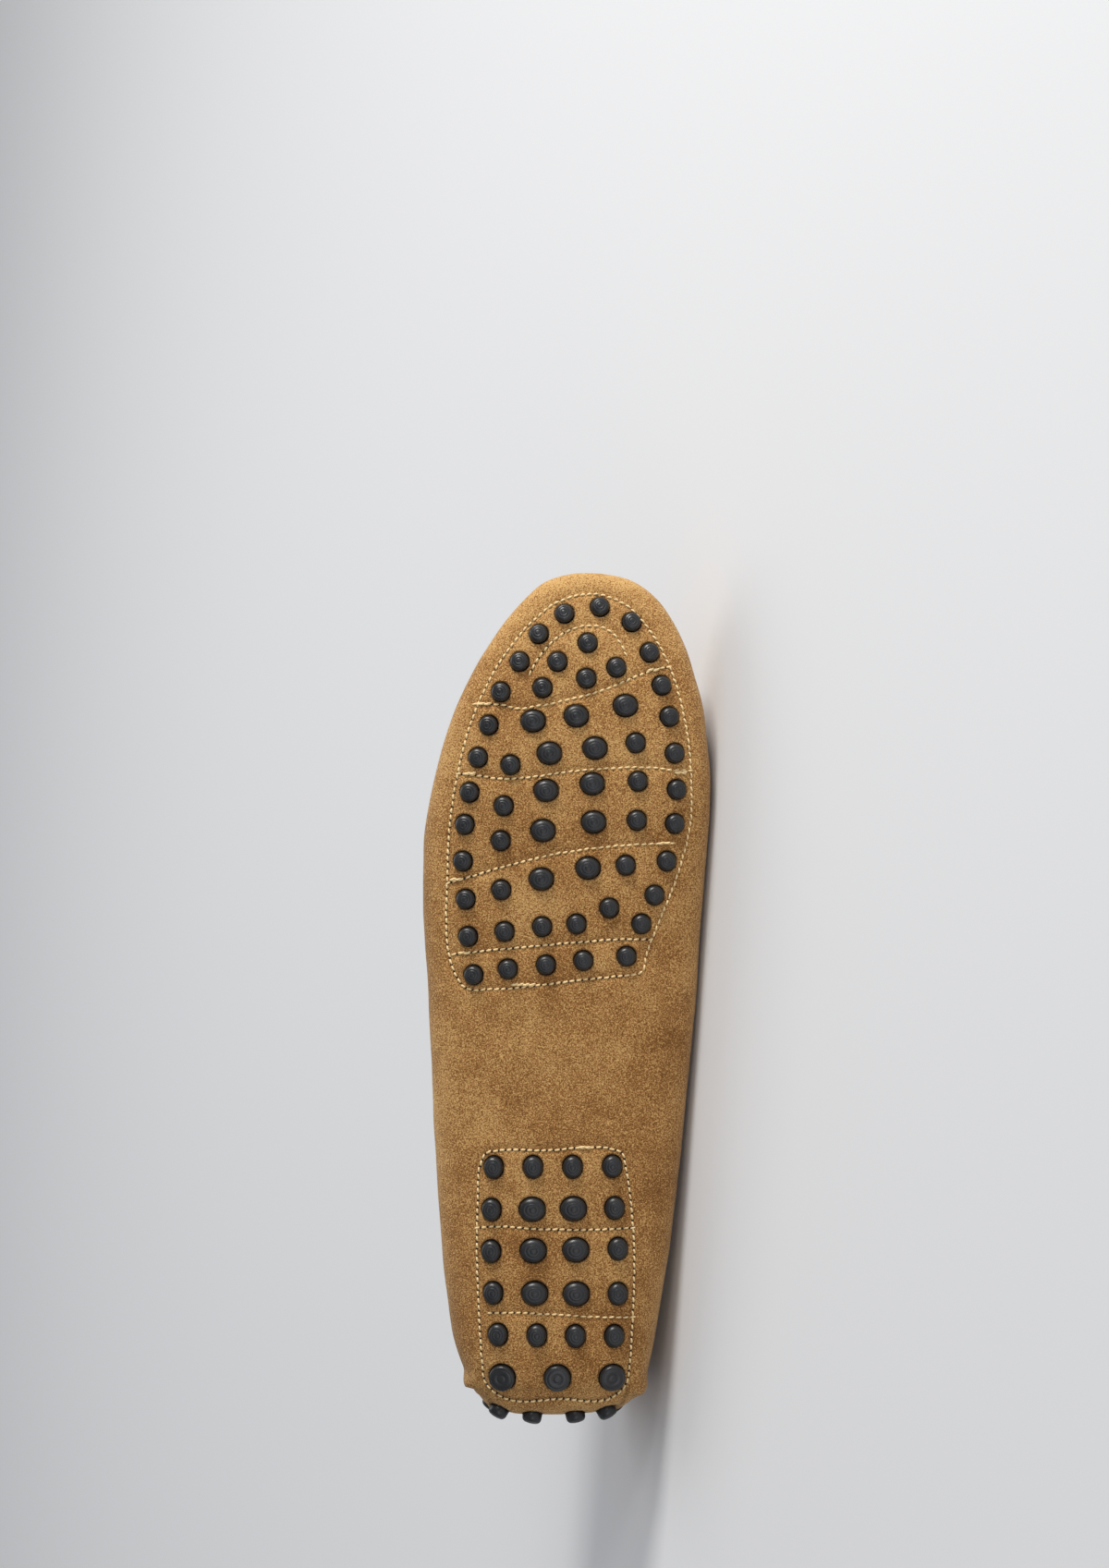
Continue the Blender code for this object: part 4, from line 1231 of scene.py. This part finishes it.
def suede_material():
    suede = Material("tan_suede", SUEDE_MID, 0.95)
    # The tone attribute carries the nap's own light and dark, and painted light and shade
    level = suede.maths("MULTIPLY_ADD", suede.attribute("tone"), 0.34, 0.5)
    patches, grain = suede.noise(150.0, 3.0), suede.noise(2200.0, 2.0, 0.7)
    for texture, amount in ((patches, 0.45), (grain, 3.4)):
        spread = suede.maths("MULTIPLY", suede.maths("SUBTRACT", texture, 0.5), amount)
        level = suede.maths("ADD", level, spread)
    colour = suede.ramp(level, ((0.12, SUEDE_DARK), (0.5, SUEDE_MID), (0.9, SUEDE_LIGHT)))
    # The hole attribute mixes in painted shade round the studs and the darker raw edges
    dark = suede.maths("MULTIPLY", suede.attribute("hole"), 0.85)
    suede.feed("Base Color", suede.mix(dark, colour, HOLE_SHADE_AND_RAW_EDGE_COLOUR))
    lumps = suede.bump(suede.noise(420.0, 2.0), 0.25, 0.0006)
    suede.feed("Normal", suede.bump(suede.noise(1900.0, 2.0), 0.65, 0.0006, Normal=lumps))
    suede.shader["Sheen Weight"].default_value = 0.34
    suede.shader["Sheen Roughness"].default_value = 0.55
    suede.shader["Sheen Tint"].default_value = (0.90, 0.72, 0.46, 1.0)
    suede.shader["Specular IOR Level"].default_value = 0.15
    return suede.data


def rubber_material():
    rubber = Material("charcoal_rubber", (0.022, 0.023, 0.026), 0.40)
    spots = rubber.noise(260.0, 3.0)
    stops = ((0.35, (0.008, 0.0085, 0.010)), (0.75, (0.017, 0.018, 0.020)))
    rubber.feed("Base Color", rubber.ramp(spots, stops))
    rubber.feed("Normal", rubber.bump(rubber.noise(2400.0, 2.0), 0.12, 0.0002))
    rubber.feed("Roughness", rubber.add("MapRange", 0, {"Value": spots, "To Min": 0.27, "To Max": 0.42}))
    return rubber.data


def thread_material():
    thread = Material("cream_thread", (0.62, 0.44, 0.22), 0.70)
    fibre = thread.noise(1800.0, 2.0)
    thread.feed("Base Color", thread.ramp(fibre, ((0.3, (0.74, 0.52, 0.24)), (0.7, (0.94, 0.74, 0.40)))))
    thread.feed("Normal", thread.bump(fibre, 0.4, 0.0002))
    return thread.data


def leather_material(name, colour, dark):
    leather = Material(name, colour, 0.62)
    leather.feed("Base Color", leather.ramp(leather.noise(60.0, 3.0), ((0.3, dark), (0.7, colour))))
    grain = leather.add("TexVoronoi", "Distance", {"Scale": 900.0, "Vector": leather.place()})
    leather.feed("Normal", leather.bump(grain, 0.25, 0.0002))
    return leather.data


MATERIALS = {
    "suede": suede_material(),
    "rubber": rubber_material(),
    "thread": thread_material(),
    "lining": leather_material("lining_leather", (0.52, 0.35, 0.19), (0.42, 0.27, 0.14)),
    "insole": leather_material("insole_leather", (0.50, 0.33, 0.17), (0.38, 0.24, 0.12)),
    # Near-black, painted shade inside the needle holes
    "hole": Material("needle_hole", (0.035, 0.017, 0.007), 0.95).data,
}


def make_camera():
    along = (SHOE_BOTTOM_ROW - FRAME_HEIGHT / 2) / PIXELS_PER_METRE
    across = (FRAME_WIDTH / 2 - CENTRE_COLUMN) / PIXELS_PER_METRE
    toe, medial, up = SHOE_POSE.to_3x3().transposed()
    data = bpy.data.cameras.new("camera")
    data.sensor_width = 36.0
    data.lens = data.sensor_width * DISTANCE * PIXELS_PER_METRE / FRAME_HEIGHT
    camera = add_object("camera", data)
    camera.rotation_mode = "QUATERNION"
    camera.location = SHOE_POSE @ Vector((along, across, 0.004)) - up * DISTANCE
    camera.rotation_quaternion = Matrix((medial, toe, -up)).transposed().to_quaternion()
    bpy.context.scene.camera = camera


def make_floor():
    """A plain pale floor, shaded by the lights alone."""
    size = 8.0
    mesh = bpy.data.meshes.new("floor")
    corners = [(-size, -size, 0), (size, -size, 0), (size, size, 0), (-size, size, 0)]
    mesh.from_pydata(corners, [], [(0, 1, 2, 3)])
    material = Material("floor", FLOOR_COLOUR, 0.9)
    material.shader["Specular IOR Level"].default_value = 0.1
    mesh.materials.append(material.data)
    add_object("floor", mesh)


def area_light(name, place, size, energy, colour=(1.0, 1.0, 1.0)):
    """A rectangular light turned to the shoe."""
    data = bpy.data.lights.new(name, "AREA")
    data.shape = "RECTANGLE"
    data.size, data.size_y = size
    data.energy = energy
    data.color = colour
    light = add_object(name, data)
    light.location = place
    light.rotation_mode = "QUATERNION"
    light.rotation_quaternion = (LIGHT_TARGET - Vector(place)).to_track_quat("-Z", "Y")


def make_lights():
    area_light("key", (1.80, -0.40, 0.85), (0.6, 0.6), 38.0, (1.0, 0.985, 0.95))
    area_light("glint", (1.15, -1.15, 0.75), (0.35, 0.35), 3.6)
    area_light("front", (-0.60, -1.7, 0.35), (1.6, 0.6), 4.5)
    area_light("rim", (0.3, 0.9, 1.2), (1.0, 0.8), 5.0)
    world = bpy.data.worlds.new("studio")
    world.use_nodes = True
    background = world.node_tree.nodes["Background"]
    background.inputs["Color"].default_value = (0.93, 0.95, 1.0, 1.0)
    background.inputs["Strength"].default_value = 0.35
    bpy.context.scene.world = world
    bpy.context.scene.view_settings.view_transform = "Standard"


def main():
    thread = Thread()
    make_upper()
    make_hole_edges()
    make_apron()
    make_binding(thread)
    make_insole()
    make_studs("forefoot_studs", ("fore",), "forefoot_sole")
    make_studs("heel_studs", ("heel", "back"), "heel_sole")
    thread.plan_line(FORE_EDGE, True)
    thread.plan_line(HEEL_EDGE, True)
    for line in LINES:
        thread.plan_line(line, False)
    bar_tacks(thread)
    seam_thread(thread)
    heel_thread(thread)
    thread.make()
    make_camera()
    make_floor()
    make_lights()


main()
